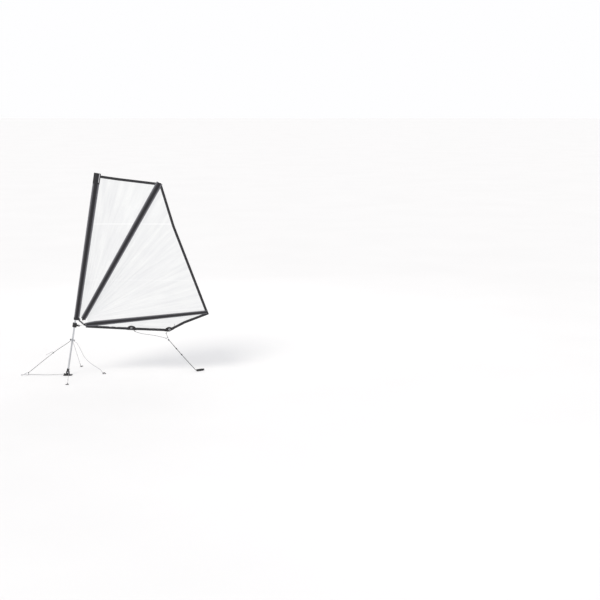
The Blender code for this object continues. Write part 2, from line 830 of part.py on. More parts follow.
def make_luff():
    low = LUFF_BOTTOM_REACH + LUFF_HEM_LENGTH + GAP
    high = LUFF_TOP_REACH - LUFF_HEAD_LENGTH - GAP
    steps = 8
    rings = [luff_ring(low + (high - low) * step / steps) for step in range(steps + 1)]
    elliptic_tube("luff_sleeve", rings, SLEEVE_CLOTH, MAST_PIVOT, MAST_FRAME)
    hem = [luff_ring(LUFF_BOTTOM_REACH, GAP), luff_ring(LUFF_BOTTOM_REACH + LUFF_HEM_LENGTH, GAP)]
    elliptic_tube("luff_hem", hem, TAPE_CLOTH, MAST_PIVOT, MAST_FRAME, wall=BAND_WALL)
    head_low = LUFF_TOP_REACH - LUFF_HEAD_LENGTH
    head_high = LUFF_TOP_REACH - LUFF_CAP_THICK - GAP
    head = [luff_ring(head_low, GAP), luff_ring((head_low + head_high) / 2, GAP), luff_ring(head_high, GAP)]
    elliptic_tube("luff_head_band", head, TAPE_CLOTH, MAST_PIVOT, MAST_FRAME, wall=BAND_WALL)
    reach, front, aft, half = luff_ring(LUFF_TOP_REACH, GAP)
    shape = bmesh.new()
    bmesh.ops.create_cone(
        shape, cap_ends=True, segments=20, radius1=1.0, radius2=1.0, depth=LUFF_CAP_THICK
    )
    bmesh.ops.scale(shape, vec=((aft + front) / 2, half, 1), verts=shape.verts)
    middle = ((aft - front) / 2, 0, reach - LUFF_CAP_THICK / 2)
    bmesh.ops.translate(shape, vec=middle, verts=shape.verts)
    place(as_object("luff_head_cap", shape), TAPE_CLOTH, MAST_PIVOT, MAST_FRAME)

    bore = MAST_RADIUS + COLLAR_CLEARANCE
    low = COLLAR_REACH - COLLAR_LENGTH / 2
    high = COLLAR_REACH + COLLAR_LENGTH / 2
    profile = [
        (COLLAR_RADIUS - COLLAR_BEVEL, high),
        (COLLAR_RADIUS, high - COLLAR_BEVEL),
        (COLLAR_RADIUS, low + COLLAR_BEVEL),
        (COLLAR_RADIUS - COLLAR_BEVEL, low),
        (bore, low),
        (bore, high),
    ]
    collar = turned("mast_collar", profile, NYLON, carrier=MAST_PIVOT, frame=MAST_FRAME)
    eye = rod(
        "collar_eye_guide",
        COLLAR_EYE_RADIUS,
        COLLAR_EYE_THICK,
        (COLLAR_EYE_REACH, 0, COLLAR_REACH),
        (0, 1, 0),
        NYLON,
        frame=MAST_FRAME,
        guide=True,
    )
    web_start = COLLAR_RADIUS - OVERRUN
    web = box(
        "collar_web_guide",
        (COLLAR_EYE_REACH - web_start, COLLAR_EYE_THICK, 2 * COLLAR_EYE_RADIUS),
        ((COLLAR_EYE_REACH + web_start) / 2, 0, COLLAR_REACH),
        NYLON,
        frame=MAST_FRAME,
        guide=True,
    )
    cut(collar, web, "UNION")
    cut(collar, eye, "UNION")
    cut(
        collar,
        rod(
            "collar_eye_hole",
            COLLAR_EYE_HOLE,
            COLLAR_EYE_THICK + OVERRUN,
            (COLLAR_EYE_REACH, 0, COLLAR_REACH),
            (0, 1, 0),
            NYLON,
            frame=MAST_FRAME,
            guide=True,
        ),
    )


# Sprit and boom: hollow poles with ball ends at the tack, each in a sewn sleeve
def pole(prefix, length, radius, carrier, frame):
    inner = radius - POLE_WALL
    plug = inner - GAP
    neck = HEEL_BALL + GAP
    profile = [(0, neck + PLUG_DEPTH), (plug, neck + PLUG_DEPTH), (plug, neck)]
    for step in range(9):
        angle = math.radians(62 - step * 152 / 8)
        profile.append((max(0.0, HEEL_BALL * math.cos(angle)), HEEL_BALL * math.sin(angle)))
    profile[-1] = (0, -HEEL_BALL)
    turned(f"{prefix}_heel_ball", profile, NYLON, carrier=carrier, frame=frame)
    low = neck + GAP
    high = length - END_CAP_LENGTH
    finish = CARBON if prefix == "sprit" else ALUMINIUM
    turned(f"{prefix}_pole", hollow_profile(inner, radius, low, high), finish, carrier=carrier, frame=frame)
    cap = [
        (0, length),
        (radius * 0.7, length),
        (radius, length - END_CAP_LENGTH * 0.4),
        (radius, high + GAP),
        (plug, high + GAP),
        (plug, high - PLUG_DEPTH),
        (0, high - PLUG_DEPTH),
    ]
    turned(f"{prefix}_end_cap", cap, NYLON, carrier=carrier, frame=frame)


def sprit_half(reach):
    """Half the sprit sleeve's width at a distance from its heel."""
    return SPRIT_HALF_LOW + (SPRIT_HALF_HIGH - SPRIT_HALF_LOW) * reach / SPRIT_LENGTH


def boom_half(reach):
    """Half the boom sleeve's width: it widens from the heel, then tapers to the clew."""
    if reach < BOOM_TAPER_END:
        share = (reach - SLEEVE_START) / (BOOM_TAPER_END - SLEEVE_START)
        return BOOM_HALF_HEEL + (BOOM_HALF_FULL - BOOM_HALF_HEEL) * share
    share = (reach - BOOM_TAPER_END) / (BOOM_LENGTH - BOOM_TAPER_END)
    return BOOM_HALF_FULL + (BOOM_HALF_CLEW - BOOM_HALF_FULL) * share


def sprit_side(reach, way):
    """A point on the sprit sleeve's edge, one gap clear of it: way is -1 before it and 1 behind it."""
    return flat_point(pole_point(SPRIT_HEEL, SPRIT_LEAN, reach, way * (sprit_half(reach) + GAP)))


def boom_side(reach, way):
    """A point on the boom sleeve's edge, one gap clear of it: way is -1 above it and 1 below it."""
    return flat_point(pole_point(BOOM_HEEL, BOOM_LEAN, reach, way * (boom_half(reach) + GAP)))


def flat_point(point):
    return Vector((point.x, point.z))


def make_poles():
    pole("sprit", SPRIT_LENGTH, SPRIT_RADIUS, SPRIT_PIVOT, SPRIT_FRAME)
    pole("boom", BOOM_LENGTH, BOOM_RADIUS, BOOM_PIVOT, BOOM_FRAME)
    thick = SPRIT_RADIUS + SLEEVE_CLEARANCE + CLOTH_WALL
    top = SPRIT_LENGTH - 2 * END_CAP_LENGTH
    rings = []
    for step in range(9):
        reach = SLEEVE_START + (top - SLEEVE_START) * step / 8
        rings.append((reach, sprit_half(reach), sprit_half(reach), thick))
    elliptic_tube("sprit_sleeve", rings, SLEEVE_CLOTH, SPRIT_PIVOT, SPRIT_FRAME)
    thick = BOOM_RADIUS + SLEEVE_CLEARANCE + CLOTH_WALL
    top = BOOM_LENGTH - END_CAP_LENGTH
    reaches = [SLEEVE_START, (SLEEVE_START + BOOM_TAPER_END) / 2]
    reaches += [BOOM_TAPER_END + (top - BOOM_TAPER_END) * step / 6 for step in range(7)]
    rings = [(reach, boom_half(reach), boom_half(reach), thick) for reach in reaches]
    elliptic_tube("boom_sleeve", rings, SLEEVE_CLOTH, BOOM_PIVOT, BOOM_FRAME)


# Sail: three panels, the tapes at its edges and the folded patches on its foot
LUFF_HEAD = flat_point(mast_point(LUFF_TOP_REACH))
SPRIT_TIP = flat_point(pole_point(SPRIT_HEEL, SPRIT_LEAN, SPRIT_LENGTH))
BOOM_TIP = flat_point(pole_point(BOOM_HEEL, BOOM_LEAN, BOOM_LENGTH))
CLEW = BOOM_TIP + Vector(CLEW_FROM_BOOM)
HEAD_OUTER = [LUFF_HEAD + Vector(spot) for spot in HEAD_FROM_LUFF] + [SPRIT_TIP + Vector(PEAK_FROM_SPRIT)]
LEECH_OUTER = [SPRIT_TIP + Vector(spot) for spot in LEECH_FROM_SPRIT] + [CLEW]
FOOT_OUTER = [Vector(BOOM_HEEL) + Vector(spot) for spot in FOOT_FROM_HEEL]
FOOT_OUTER += [BOOM_TIP + Vector(FOOT_RISE_FROM_BOOM), CLEW]


def luff_side(reach):
    """A point on the luff sleeve's aft edge, clear of the bands sewn round it."""
    return flat_point(mast_point(reach, luff_edges(reach)[1] + 2 * GAP))


def make_sail():
    head_inner = inset_line(HEAD_OUTER, TAPE_WIDTH)
    leech_inner = inset_line(LEECH_OUTER, TAPE_WIDTH)
    foot_inner = inset_line(FOOT_OUTER, -TAPE_WIDTH)
    peak_inner = crossing(head_inner[1:3], leech_inner[0:2])
    boom_under = (boom_side(BOOM_TAPER_END, 1), boom_side(BOOM_LENGTH, 1))
    fore_meet = crossing(foot_inner[0:2], boom_under)
    aft_meet = crossing(foot_inner[3:5], boom_under)
    clew_inner = crossing(leech_inner[1:3], boom_under)
    luff_line = (luff_side(LUFF_BOTTOM_REACH), luff_side(LUFF_TOP_REACH))
    head_fore = crossing(luff_line, head_inner[0:2])
    head_fore_outer = crossing(luff_line, HEAD_OUTER[0:2])

    head = [head_fore_outer, HEAD_OUTER[1], HEAD_OUTER[2], LEECH_OUTER[0]]
    head += [peak_inner, head_inner[1], head_fore]
    plate("head_tape", head, TAPE_THICK, TAPE_CLOTH, MAST_PIVOT)
    run = (LEECH_OUTER[1] - LEECH_OUTER[0]).normalized() * GAP * 2
    end = (LEECH_OUTER[2] - LEECH_OUTER[1]).normalized() * GAP * 2
    leech = [
        LEECH_OUTER[0] + run,
        LEECH_OUTER[1],
        LEECH_OUTER[2] - end,
        clew_inner - end,
        leech_inner[1],
        peak_inner + run,
    ]
    plate("leech_tape", leech, TAPE_THICK, TAPE_CLOTH, SPRIT_PIVOT)
    foot = FOOT_OUTER + [clew_inner, aft_meet, foot_inner[3], foot_inner[2], foot_inner[1], fore_meet]
    foot += [boom_side(BOOM_TAPER_END, 1), boom_side(SLEEVE_START, 1)]
    foot_tape = meshed(plate("foot_tape", foot, TAPE_THICK, TAPE_CLOTH, BOOM_PIVOT))

    tuck = 2 * GAP
    head_low = inset_line([head_fore, head_inner[1], peak_inner], tuck)
    sprit_fore = (sprit_side(SLEEVE_START, -1), sprit_side(SPRIT_LENGTH, -1))
    low = [luff_side(LUFF_BOTTOM_REACH + UPPER_LAP), sprit_side(2 * SLEEVE_START, -1)]
    high_start = crossing(luff_line, head_low[0:2])
    high_end = crossing(sprit_fore, head_low[1:3])
    high = [high_start, head_low[1], high_end]
    panel("upper_panel", low, high, [low[0], high[0]], [low[1], high[-1]], (10, 18), UPPER_BELLY, MAST_PIVOT)

    leech_side = inset_line([peak_inner, leech_inner[1], clew_inner], tuck)
    sprit_aft = (sprit_side(SLEEVE_START, 1), sprit_side(SPRIT_LENGTH, 1))
    boom_over = (boom_side(BOOM_TAPER_END, -1), boom_side(BOOM_LENGTH, -1))
    out_start = crossing(sprit_aft, leech_side[0:2])
    out_end = crossing(boom_over, leech_side[1:3])
    near = [sprit_side(3 * SLEEVE_START, 1), boom_side(3 * SLEEVE_START, -1)]
    far = [out_start, leech_side[1], out_end]
    lower = [near[1], boom_side(BOOM_TAPER_END, -1), out_end]
    panel("main_panel", near, far, [near[0], out_start], lower, (18, 18), MAIN_BELLY, SPRIT_PIVOT)

    foot_top = inset_line([fore_meet, foot_inner[1], foot_inner[2], foot_inner[3], aft_meet], -tuck)
    margin = Vector((PANEL_MARGIN, 0))
    fore_foot = foot_top[0] + (foot_top[1] - foot_top[0]).normalized() * PANEL_MARGIN
    aft_foot = foot_top[-1] + (foot_top[-2] - foot_top[-1]).normalized() * PANEL_MARGIN
    fore_boom = crossing(boom_under, (fore_foot, fore_foot + Vector((0, PANEL_MARGIN))))
    aft_boom = crossing(boom_under, (aft_foot, aft_foot + Vector((0, PANEL_MARGIN))))
    foot_low = [fore_foot] + foot_top[1:4] + [aft_foot]
    foot_panel = panel(
        "foot_panel",
        foot_low,
        [fore_boom, aft_boom],
        [fore_foot, fore_boom],
        [aft_foot, aft_boom],
        (20, 3),
        0.0,
        BOOM_PIVOT,
    )
    return foot_tape, foot_panel


def foot_height(x):
    """The height of the sail's foot at a distance aft."""
    for start, end in zip(FOOT_OUTER, FOOT_OUTER[1:]):
        if start.x <= x <= end.x:
            return start.y + (end.y - start.y) * (x - start.x) / (end.x - start.x)
    return FOOT_OUTER[-1].y


def make_patches(foot_tape, foot_panel):
    """Two patches folded round the foot, each with an eyelet through it and a wire hook."""
    places = []
    for number, x in enumerate(PATCH_REACHES, start=1):
        foot = foot_height(x)
        arc = []
        for step in range(17):
            angle = math.pi * step / 16
            arc.append(Vector((x + PATCH_RADIUS * math.cos(angle), foot + PATCH_RISE * math.sin(angle))))
        under = [point for point in FOOT_OUTER if abs(point.x - x) < PATCH_RADIUS * 0.9]
        starts = [Vector((x - PATCH_RADIUS, foot_height(x - PATCH_RADIUS)))]
        ends = [Vector((x + PATCH_RADIUS, foot_height(x + PATCH_RADIUS)))]
        edge = starts + under + ends
        lip = [point - Vector((0, PATCH_LIP)) for point in edge]
        arc = [point for point in arc[1:-1] if point.y > foot_height(point.x) + PATCH_LIP]
        patch = meshed(plate(f"foot_patch_{number}", lip + arc, PATCH_THICK, TAPE_CLOTH, BOOM_PIVOT))
        ledge = [point - Vector((0, GAP)) for point in edge]
        ledge[0] -= Vector((OVERRUN, 0))
        ledge[-1] += Vector((OVERRUN, 0))
        over = [
            Vector((x + PATCH_RADIUS + OVERRUN, foot + 2 * PATCH_RISE)),
            Vector((x - PATCH_RADIUS - OVERRUN, foot + 2 * PATCH_RISE)),
        ]
        slot = meshed(
            plate("patch_slot", ledge + over, TAPE_THICK + 2 * GAP, TAPE_CLOTH, BOOM_PIVOT, guide=True)
        )
        cut(patch, slot)
        centre = Vector((x, 0, foot + EYELET_RISE))
        hole = rod(
            "eyelet_hole",
            EYELET_RADIUS + GAP,
            PATCH_THICK + OVERRUN,
            centre,
            (0, 1, 0),
            TAPE_CLOTH,
            guide=True,
        )
        for item in (patch, foot_tape, foot_panel):
            cut(item, hole)
        seat = PATCH_THICK / 2 + GAP
        top = seat + EYELET_FLANGE_THICK
        profile = [
            (EYELET_FLANGE, top),
            (EYELET_FLANGE, seat),
            (EYELET_RADIUS, seat),
            (EYELET_RADIUS, -seat),
            (EYELET_FLANGE, -seat),
            (EYELET_FLANGE, -top),
            (EYELET_BORE, -top),
            (EYELET_BORE, top),
        ]
        frame = Matrix.Translation(centre) @ Matrix.Rotation(math.pi / 2, 4, "X")
        turned(f"foot_eyelet_{number}", profile, STEEL, steps=20, carrier=BOOM_PIVOT, frame=frame)
        places.append(centre)
    return places


# Tack fittings: the strap from the sleeve to the boom's heel, and its lashing through the collar's eye
def make_tack():
    front, aft = luff_edges(LUFF_BOTTOM_REACH + STRAP_LAP)
    top = flat_point(mast_point(LUFF_BOTTOM_REACH + STRAP_LAP, aft + STRAP_WIDTH / 2 + 2 * GAP))
    low_aft = luff_edges(LUFF_BOTTOM_REACH)[1] + STRAP_WIDTH / 2 + 2 * GAP
    low = flat_point(mast_point(LUFF_BOTTOM_REACH, low_aft))
    bend = Vector(STRAP_BEND)
    ball = Vector(BOOM_HEEL)
    end = ball + (bend - ball).normalized() * (HEEL_BALL + 2 * GAP)
    line = [top, low, bend, end]
    left = inset_line(line, STRAP_WIDTH / 2)
    right = inset_line(line, -STRAP_WIDTH / 2)
    plate("tack_strap", right + left[::-1], STRAP_THICK, TAPE_CLOTH, MAST_PIVOT)
    eye = mast_point(COLLAR_REACH, COLLAR_EYE_REACH)
    heel = Vector((BOOM_HEEL[0], 0, BOOM_HEEL[1]))
    reach = heel - eye
    run = reach.normalized()
    far = eye + run * (reach.length - HEEL_BALL - LASHING_RADIUS - STRAP_WIDTH / 4)
    web = COLLAR_EYE_THICK / 2 + LASHING_RADIUS + GAP
    loop = [
        eye,
        eye + Vector((0, web, 0)) + run * LASHING_RADIUS,
        eye + Vector((0, web, 0)) + run * LASHING_TURN,
        far + Vector((0, web, 0)) - run * LASHING_TURN,
        far,
        far + Vector((0, -web, 0)) - run * LASHING_TURN,
        eye + Vector((0, -web, 0)) + run * LASHING_TURN,
        eye + Vector((0, -web, 0)) + run * LASHING_RADIUS,
    ]
    spots = smooth_route(loop + [eye], even(33))[:-1]
    wire("tack_lashing", spots, LASHING_RADIUS, PALE_CORD, MAST_PIVOT, cyclic=True)


def make_hooks(places):
    """A wire hook through each foot eyelet, open on its near side. Returns where its cord is tied."""
    ties = []
    for number, (centre, run) in enumerate(zip(places, HOOK_RUN_SHARES), start=1):
        run = Vector((run[0], 0, run[1])).normalized()
        bore = EYELET_BORE - HOOK_WIRE - GAP
        shape_shares = (
            (-1.0, 0.34),
            (-1.0, 0.18),
            (-0.72, 0.03),
            (0.0, 0.0),
            (0.72, 0.03),
            (1.0, 0.18),
            (1.0, 0.60),
            (0.80, 0.90),
            (0.35, 1.0),
            (-0.25, 1.0),
            (-0.74, 0.90),
            (-0.90, 0.78),
        )
        start = centre + run * bore
        route = [
            start + Vector((0, across * HOOK_HALF_WIDTH, 0)) + run * (down * (HOOK_REACH - bore))
            for across, down in shape_shares
        ]
        bend = smooth_route(route, even(40))
        wire(f"sheet_hook_{number}", bend, HOOK_WIRE, NYLON, BOOM_PIVOT)
        depth = max((spot - centre).dot(run) for spot in bend)
        tie = centre + run * (depth + HOOK_WIRE + 2 * GAP)
        ties.append([tie, tie + run * (4 * BRIDLE_CORD)])
    return ties


def ring_points(centre, radius, across, up, count=24):
    """The points of a round ring in the plane of two directions."""
    return [
        centre
        + across * (radius * math.cos(2 * math.pi * step / count))
        + up * (radius * math.sin(2 * math.pi * step / count))
        for step in range(count)
    ]


def make_bridle_and_sheet(ties):
    """The two bridle legs from the hooks to a small ring, and the sheet from the ring to its cleat."""
    ring = Vector((BRIDLE_RING_AT[0], 0, BRIDLE_RING_AT[1]))
    wire(
        "bridle_ring",
        ring_points(ring, BRIDLE_RING_RADIUS, X_WAY, Z_WAY),
        BRIDLE_RING_WIRE,
        STEEL,
        BOOM_PIVOT,
        cyclic=True,
    )
    stand_off = BRIDLE_RING_RADIUS + BRIDLE_RING_WIRE + 4 * GAP
    left_end = ring + Vector(FORE_LEG_WAY_SHARES).normalized() * stand_off
    right_end = ring + Vector(AFT_LEG_WAY_SHARES).normalized() * stand_off
    knots = ((0, KNOT_MINOR_SHARE), (1, KNOT_SIZE_SHARE))
    sag = [Vector(spot) for spot in BRIDLE_LEFT_ROUTE]
    left = eased(ties[0], sag[0]) + sag + [left_end]
    cord("bridle_fore_leg", left, BRIDLE_CORD, PALE_CORD, BOOM_PIVOT, 40, knots)
    right = eased(ties[1], right_end) + [right_end]
    cord("bridle_aft_leg", right, BRIDLE_CORD, PALE_CORD, BOOM_PIVOT, 16, knots)
    away = (Vector(SHEET_ROUTE[0]) - ring).normalized()
    start = ring + away * stand_off
    heading = math.atan2(CLEAT_AT[1], CLEAT_AT[0] - BRIDLE_RING_AT[0])
    lie = Vector((math.cos(heading), math.sin(heading), 0))
    middle = Vector((CLEAT_AT[0], CLEAT_AT[1], CLEAT_FLOOR + SHEET_CORD + 4 * GAP))
    mouth = middle - lie * (CLEAT_LENGTH / 2)
    exit_point = middle + lie * (CLEAT_LENGTH / 2 + 5 * SHEET_CORD)
    approach = mouth - lie * (6 * SHEET_CORD) + Z_WAY * (3 * SHEET_CORD)
    route = [start, *(Vector(spot) for spot in SHEET_ROUTE), approach, mouth, middle, exit_point]
    cord("sheet", route, SHEET_CORD, GREY_CORD, BOOM_PIVOT, 56, SHEET_KNOT_SHARES)
    return heading


def make_cleat(heading):
    """A jam cleat: an open slot whose ribs lean the way the sheet runs in."""
    frame = Matrix.Translation((CLEAT_AT[0], CLEAT_AT[1], 0)) @ Matrix.Rotation(heading, 4, "Z")
    cleat = box(
        "sheet_cleat",
        (CLEAT_LENGTH, CLEAT_WIDTH, CLEAT_HEIGHT),
        (0, 0, CLEAT_HEIGHT / 2),
        NYLON,
        frame=frame,
        edge=CLEAT_BEVEL,
    )
    slot = CLEAT_WIDTH * CLEAT_SLOT_SHARE
    half = slot / 2 + CLEAT_RIB_DEEP
    cut(
        cleat,
        box(
            "cleat_slot",
            (CLEAT_LENGTH + OVERRUN, 2 * half, CLEAT_HEIGHT),
            (0, 0, CLEAT_FLOOR + CLEAT_HEIGHT / 2),
            NYLON,
            frame=frame,
            guide=True,
        ),
    )
    for number in range(CLEAT_RIBS):
        x = (number + 0.5 - CLEAT_RIBS / 2) * CLEAT_LENGTH * 0.8 / CLEAT_RIBS
        for side in (-1, 1):
            rib = box(
                "cleat_rib",
                (CLEAT_RIB_THICK, 2 * CLEAT_RIB_DEEP, CLEAT_HEIGHT - CLEAT_FLOOR - CLEAT_BEVEL / 2),
                (x, side * half, (CLEAT_HEIGHT + CLEAT_FLOOR - CLEAT_BEVEL) / 2),
                NYLON,
                frame=frame,
                guide=True,
            )
            cut(cleat, rib, "UNION")


def make_deck_rings():
    """A three-sided ring at each side for a stay, and the ring and snap hook at the bow."""
    places = []
    hub = mast_point(STAY_PLATE_REACH)
    for name, side in (("port", 1), ("starboard", -1)):
        centre = Vector((SIDE_REACH, side * SIDE_HALF_SPAN, SIDE_RING_WIRE + GAP))
        inward = Vector((hub.x - centre.x, -centre.y, 0)).normalized()
        across = Vector((-inward.y, inward.x, 0))
        apex = centre + inward * (SIDE_RING_SIZE / 2)
        corners = [apex, centre - inward * (SIDE_RING_SIZE / 2) + across * (SIDE_RING_SIZE / 2)]
        corners.append(centre - inward * (SIDE_RING_SIZE / 2) - across * (SIDE_RING_SIZE / 2))
        spots = []
        for before, corner, after in zip(corners[-1:] + corners[:-1], corners, corners[1:] + corners[:1]):
            round_off = SIDE_RING_WIRE * 2
            first = corner + (before - corner).normalized() * round_off
            last = corner + (after - corner).normalized() * round_off
            spots += [first, (first + last + corner * 2) / 4, last]
        wire(f"{name}_stay_ring", spots, SIDE_RING_WIRE, NYLON, cyclic=True)
        places.append(spots[1])
    ring = Vector((BOW_RING_REACH, 0, BOW_RING_RADIUS + BOW_RING_WIRE + GAP))
    wire("bow_ring", ring_points(ring, BOW_RING_RADIUS, X_WAY, Z_WAY), BOW_RING_WIRE, STEEL, cyclic=True)
    return places, ring


def make_bow_hook(ring):
    """The snap hook through the bow ring, with its sprung gate on the near side."""
    aft = BOW_RING_REACH - BOW_RING_RADIUS + BOW_RING_WIRE + BOW_HOOK_WIRE + GAP
    fore = aft - BOW_HOOK_LENGTH
    high = ring.z
    low = BOW_HOOK_WIRE + GAP
    half = BOW_HOOK_HALF_WIDTH

    def spot(along_share, across_share):
        return Vector((
            aft + (fore - aft) * along_share,
            half * across_share,
            high + (low - high) * along_share,
        ))

    outline = [spot(*shares) for shares in BOW_HOOK_SHARES]
    wire("bow_hook", smooth_route(outline, even(40)), BOW_HOOK_WIRE, STEEL)
    hinge = outline[-1]
    tip = outline[0]
    run = (tip - hinge).normalized()
    foot = hinge + run * (GATE_WIRE / 2 + 3 * GAP)
    gate = [foot, foot.lerp(tip, 0.5), tip - run * 2 * GAP]
    wire("bow_hook_gate", gate, GATE_WIRE, STEEL)


def make_fairlead():
    """A low eye on a plate, which holds the downhaul's end."""
    x, y = FAIRLEAD_AT
    base = box(
        "downhaul_eye",
        (FAIRLEAD_LENGTH, FAIRLEAD_WIDTH, FAIRLEAD_THICK),
        (x, y, FAIRLEAD_THICK / 2),
        NYLON,
        edge=FAIRLEAD_THICK / 4,
    )
    half = FAIRLEAD_LENGTH / 2 - 2 * FAIRLEAD_WIRE
    arch = []
    for step in range(13):
        angle = math.pi * step / 12
        rise = FAIRLEAD_RISE * math.sin(angle)
        arch.append(Vector((x - half * math.cos(angle), y, FAIRLEAD_THICK / 2 + rise)))
    bow = meshed(wire("eye_arch", arch, FAIRLEAD_WIRE, NYLON))
    PARTS.objects.unlink(bow)
    CUTTERS.objects.link(bow)
    cut(base, bow, "UNION")
    knot = STAY_CORD * KNOT_SIZE_SHARE
    return Vector((x - half - FAIRLEAD_WIRE - 2 * GAP, y, FAIRLEAD_THICK + knot + 2 * GAP))


def make_stays(side_places, ring, eye):
    """The lines from the stay plate to the deck, with a knot at each end."""
    over = STAY_PLATE_THICK / 2
    knots = ((0, KNOT_SIZE_SHARE), (1, KNOT_SIZE_SHARE))
    rise = MAST_FRAME.to_3x3() @ Z_WAY

    def through_plate(across, out, radius):
        """The knot above a hole of the stay plate, and the cord's way through the hole."""
        hole = MAST_FRAME @ Vector((across * STAY_HOLE_REACH, out * STAY_HOLE_REACH, STAY_PLATE_REACH))
        knot = hole + rise * (over + radius * (2 * KNOT_SIZE_SHARE - KNOT_SEAT_SHARE) + GAP)
        return [knot, hole, hole - rise * (over + 5 * radius)]

    for (name, out), nose in zip((("port", 1), ("starboard", -1)), side_places):
        start = through_plate(0, out, STAY_CORD)
        tie = nose + (start[-1] - nose).normalized() * (SIDE_RING_WIRE + 2 * GAP)
        stay_knots = knots + ((STAY_KNOT_SHARE, KNOT_SIZE_SHARE),)
        cord(f"{name}_stay", eased(start, tie) + [tie], STAY_CORD, PALE_CORD, MAST_PIVOT, 40, stay_knots)
    start = through_plate(-1, 0, UPHAUL_CORD)
    knot = Vector(UPHAUL_KNOT)
    rim = BOW_RING_RADIUS + BOW_RING_WIRE + 2 * GAP
    route = eased(start, knot) + [knot, ring + Vector(UPHAUL_WAY_SHARES).normalized() * rim]
    lengths = dense_route(route)[1]
    uphaul_knots = knots + ((lengths[-1 - ROUTE_STEPS] / lengths[-1], KNOT_SIZE_SHARE),)
    cord("uphaul", route, UPHAUL_CORD, GREY_CORD, MAST_PIVOT, 41, uphaul_knots)
    start = through_plate(1, 0, STAY_CORD)
    route = start + [Vector(spot) for spot in DOWNHAUL_ROUTE]
    route.append(eye)
    cord("downhaul", route, STAY_CORD, PALE_CORD, MAST_PIVOT, 48, knots)
    becket_x = -BASE_LENGTH / 2 + BECKET_LENGTH / 2 + BASE_EDGE
    becket = Vector((becket_x, 0, BASE_THICK + (BECKET_HEIGHT - OVERRUN / 2) / 2))
    side = BECKET_THICK / 2 + STAY_CORD * KNOT_SIZE_SHARE + GAP
    start = ring + Vector(FALL_WAY_SHARES).normalized() * rim
    through = [becket - Y_WAY * side, becket, becket + Y_WAY * side]
    low = STAY_CORD + GAP
    middle = Vector(((start.x + becket.x) / 2, -side, low * 3))
    lead = Vector((becket_x - BECKET_LENGTH, -side - STAY_CORD * 2, becket.z))
    cord("uphaul_fall", [start, middle, lead] + through, STAY_CORD, PALE_CORD, None, 56, knots)
    bulge = UPHAUL_CORD * KNOT_SIZE_SHARE
    off = Vector(TAIL_WAY_SHARES)
    tail = [knot + off * (bulge + TAIL_CORD + GAP), knot + off * (3 * bulge), Vector(TAIL_END)]
    cord("uphaul_tail", tail, TAIL_CORD, PALE_CORD, MAST_PIVOT, 14)


make_mast_foot()
make_mast()
make_luff()
make_poles()
PATCH_PLACES = make_patches(*make_sail())
make_tack()
HOOK_TIES = make_hooks(PATCH_PLACES)
SHEET_HEADING = make_bridle_and_sheet(HOOK_TIES)
make_cleat(SHEET_HEADING)
SIDE_PLACES, BOW_RING = make_deck_rings()
make_bow_hook(BOW_RING)
DOWNHAUL_EYE = make_fairlead()
make_stays(SIDE_PLACES, BOW_RING, DOWNHAUL_EYE)
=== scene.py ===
"""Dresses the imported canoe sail: cloth panels, sewn sleeves, tapes, cords, knots and every fitting's finish.

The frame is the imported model's: +X aft, +Y to the far side and +Z up, in metres. The deck is at zero height.
"""

import json
import math

import bmesh
import bpy
from mathutils import Matrix, Vector, noise
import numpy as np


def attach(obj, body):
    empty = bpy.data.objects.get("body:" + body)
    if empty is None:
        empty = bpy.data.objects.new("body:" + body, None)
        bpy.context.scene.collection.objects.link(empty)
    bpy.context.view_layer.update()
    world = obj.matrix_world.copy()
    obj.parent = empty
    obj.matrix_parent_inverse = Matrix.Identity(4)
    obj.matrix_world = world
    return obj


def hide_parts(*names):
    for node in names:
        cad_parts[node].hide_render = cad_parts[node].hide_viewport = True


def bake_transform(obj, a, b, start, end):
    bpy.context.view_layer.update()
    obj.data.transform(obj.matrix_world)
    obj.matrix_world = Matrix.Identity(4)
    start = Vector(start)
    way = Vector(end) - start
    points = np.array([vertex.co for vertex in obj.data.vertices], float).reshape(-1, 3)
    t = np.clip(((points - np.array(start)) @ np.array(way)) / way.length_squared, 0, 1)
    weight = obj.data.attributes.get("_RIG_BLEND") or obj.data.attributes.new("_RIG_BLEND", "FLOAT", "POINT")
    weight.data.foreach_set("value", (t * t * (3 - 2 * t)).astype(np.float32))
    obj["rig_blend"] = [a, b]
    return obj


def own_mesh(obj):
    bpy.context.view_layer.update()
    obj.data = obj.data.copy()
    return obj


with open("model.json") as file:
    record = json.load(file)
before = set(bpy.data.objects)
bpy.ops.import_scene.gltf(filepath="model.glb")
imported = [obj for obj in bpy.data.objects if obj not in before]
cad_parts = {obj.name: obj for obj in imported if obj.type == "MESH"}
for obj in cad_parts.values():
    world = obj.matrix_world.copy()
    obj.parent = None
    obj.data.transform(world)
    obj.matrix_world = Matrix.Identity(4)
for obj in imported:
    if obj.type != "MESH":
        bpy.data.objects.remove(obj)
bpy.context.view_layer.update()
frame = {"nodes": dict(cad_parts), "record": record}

# The poles' places, as the solids have them
MAST_RAKE = math.radians(9.84)
HINGE_HEIGHT = 0.030
SPRIT_HEEL = Vector((0.1509, 0, 0.5145))
SPRIT_LEAN = math.radians(30.16)
SPRIT_LENGTH = 1.390
BOOM_HEEL = Vector((0.1613, 0, 0.4686))
BOOM_LEAN = math.radians(84.05)
BOOM_LENGTH = 1.091

# The luff sleeve, by distance along the mast from its hinge
LUFF_LOW = 0.489
LUFF_HIGH = 1.8297
LUFF_HEM = 0.022
LUFF_HEAD = 0.096
LUFF_FRONTS = (0.0160, 0.0245)
LUFF_AFTS = (0.0330, 0.0360)
LUFF_CORE = 0.0102
FLANGE = 0.0013
LUFF_CLOTH_ENDS = (0.004, 0.088)
BINDING_GROW = 0.0009

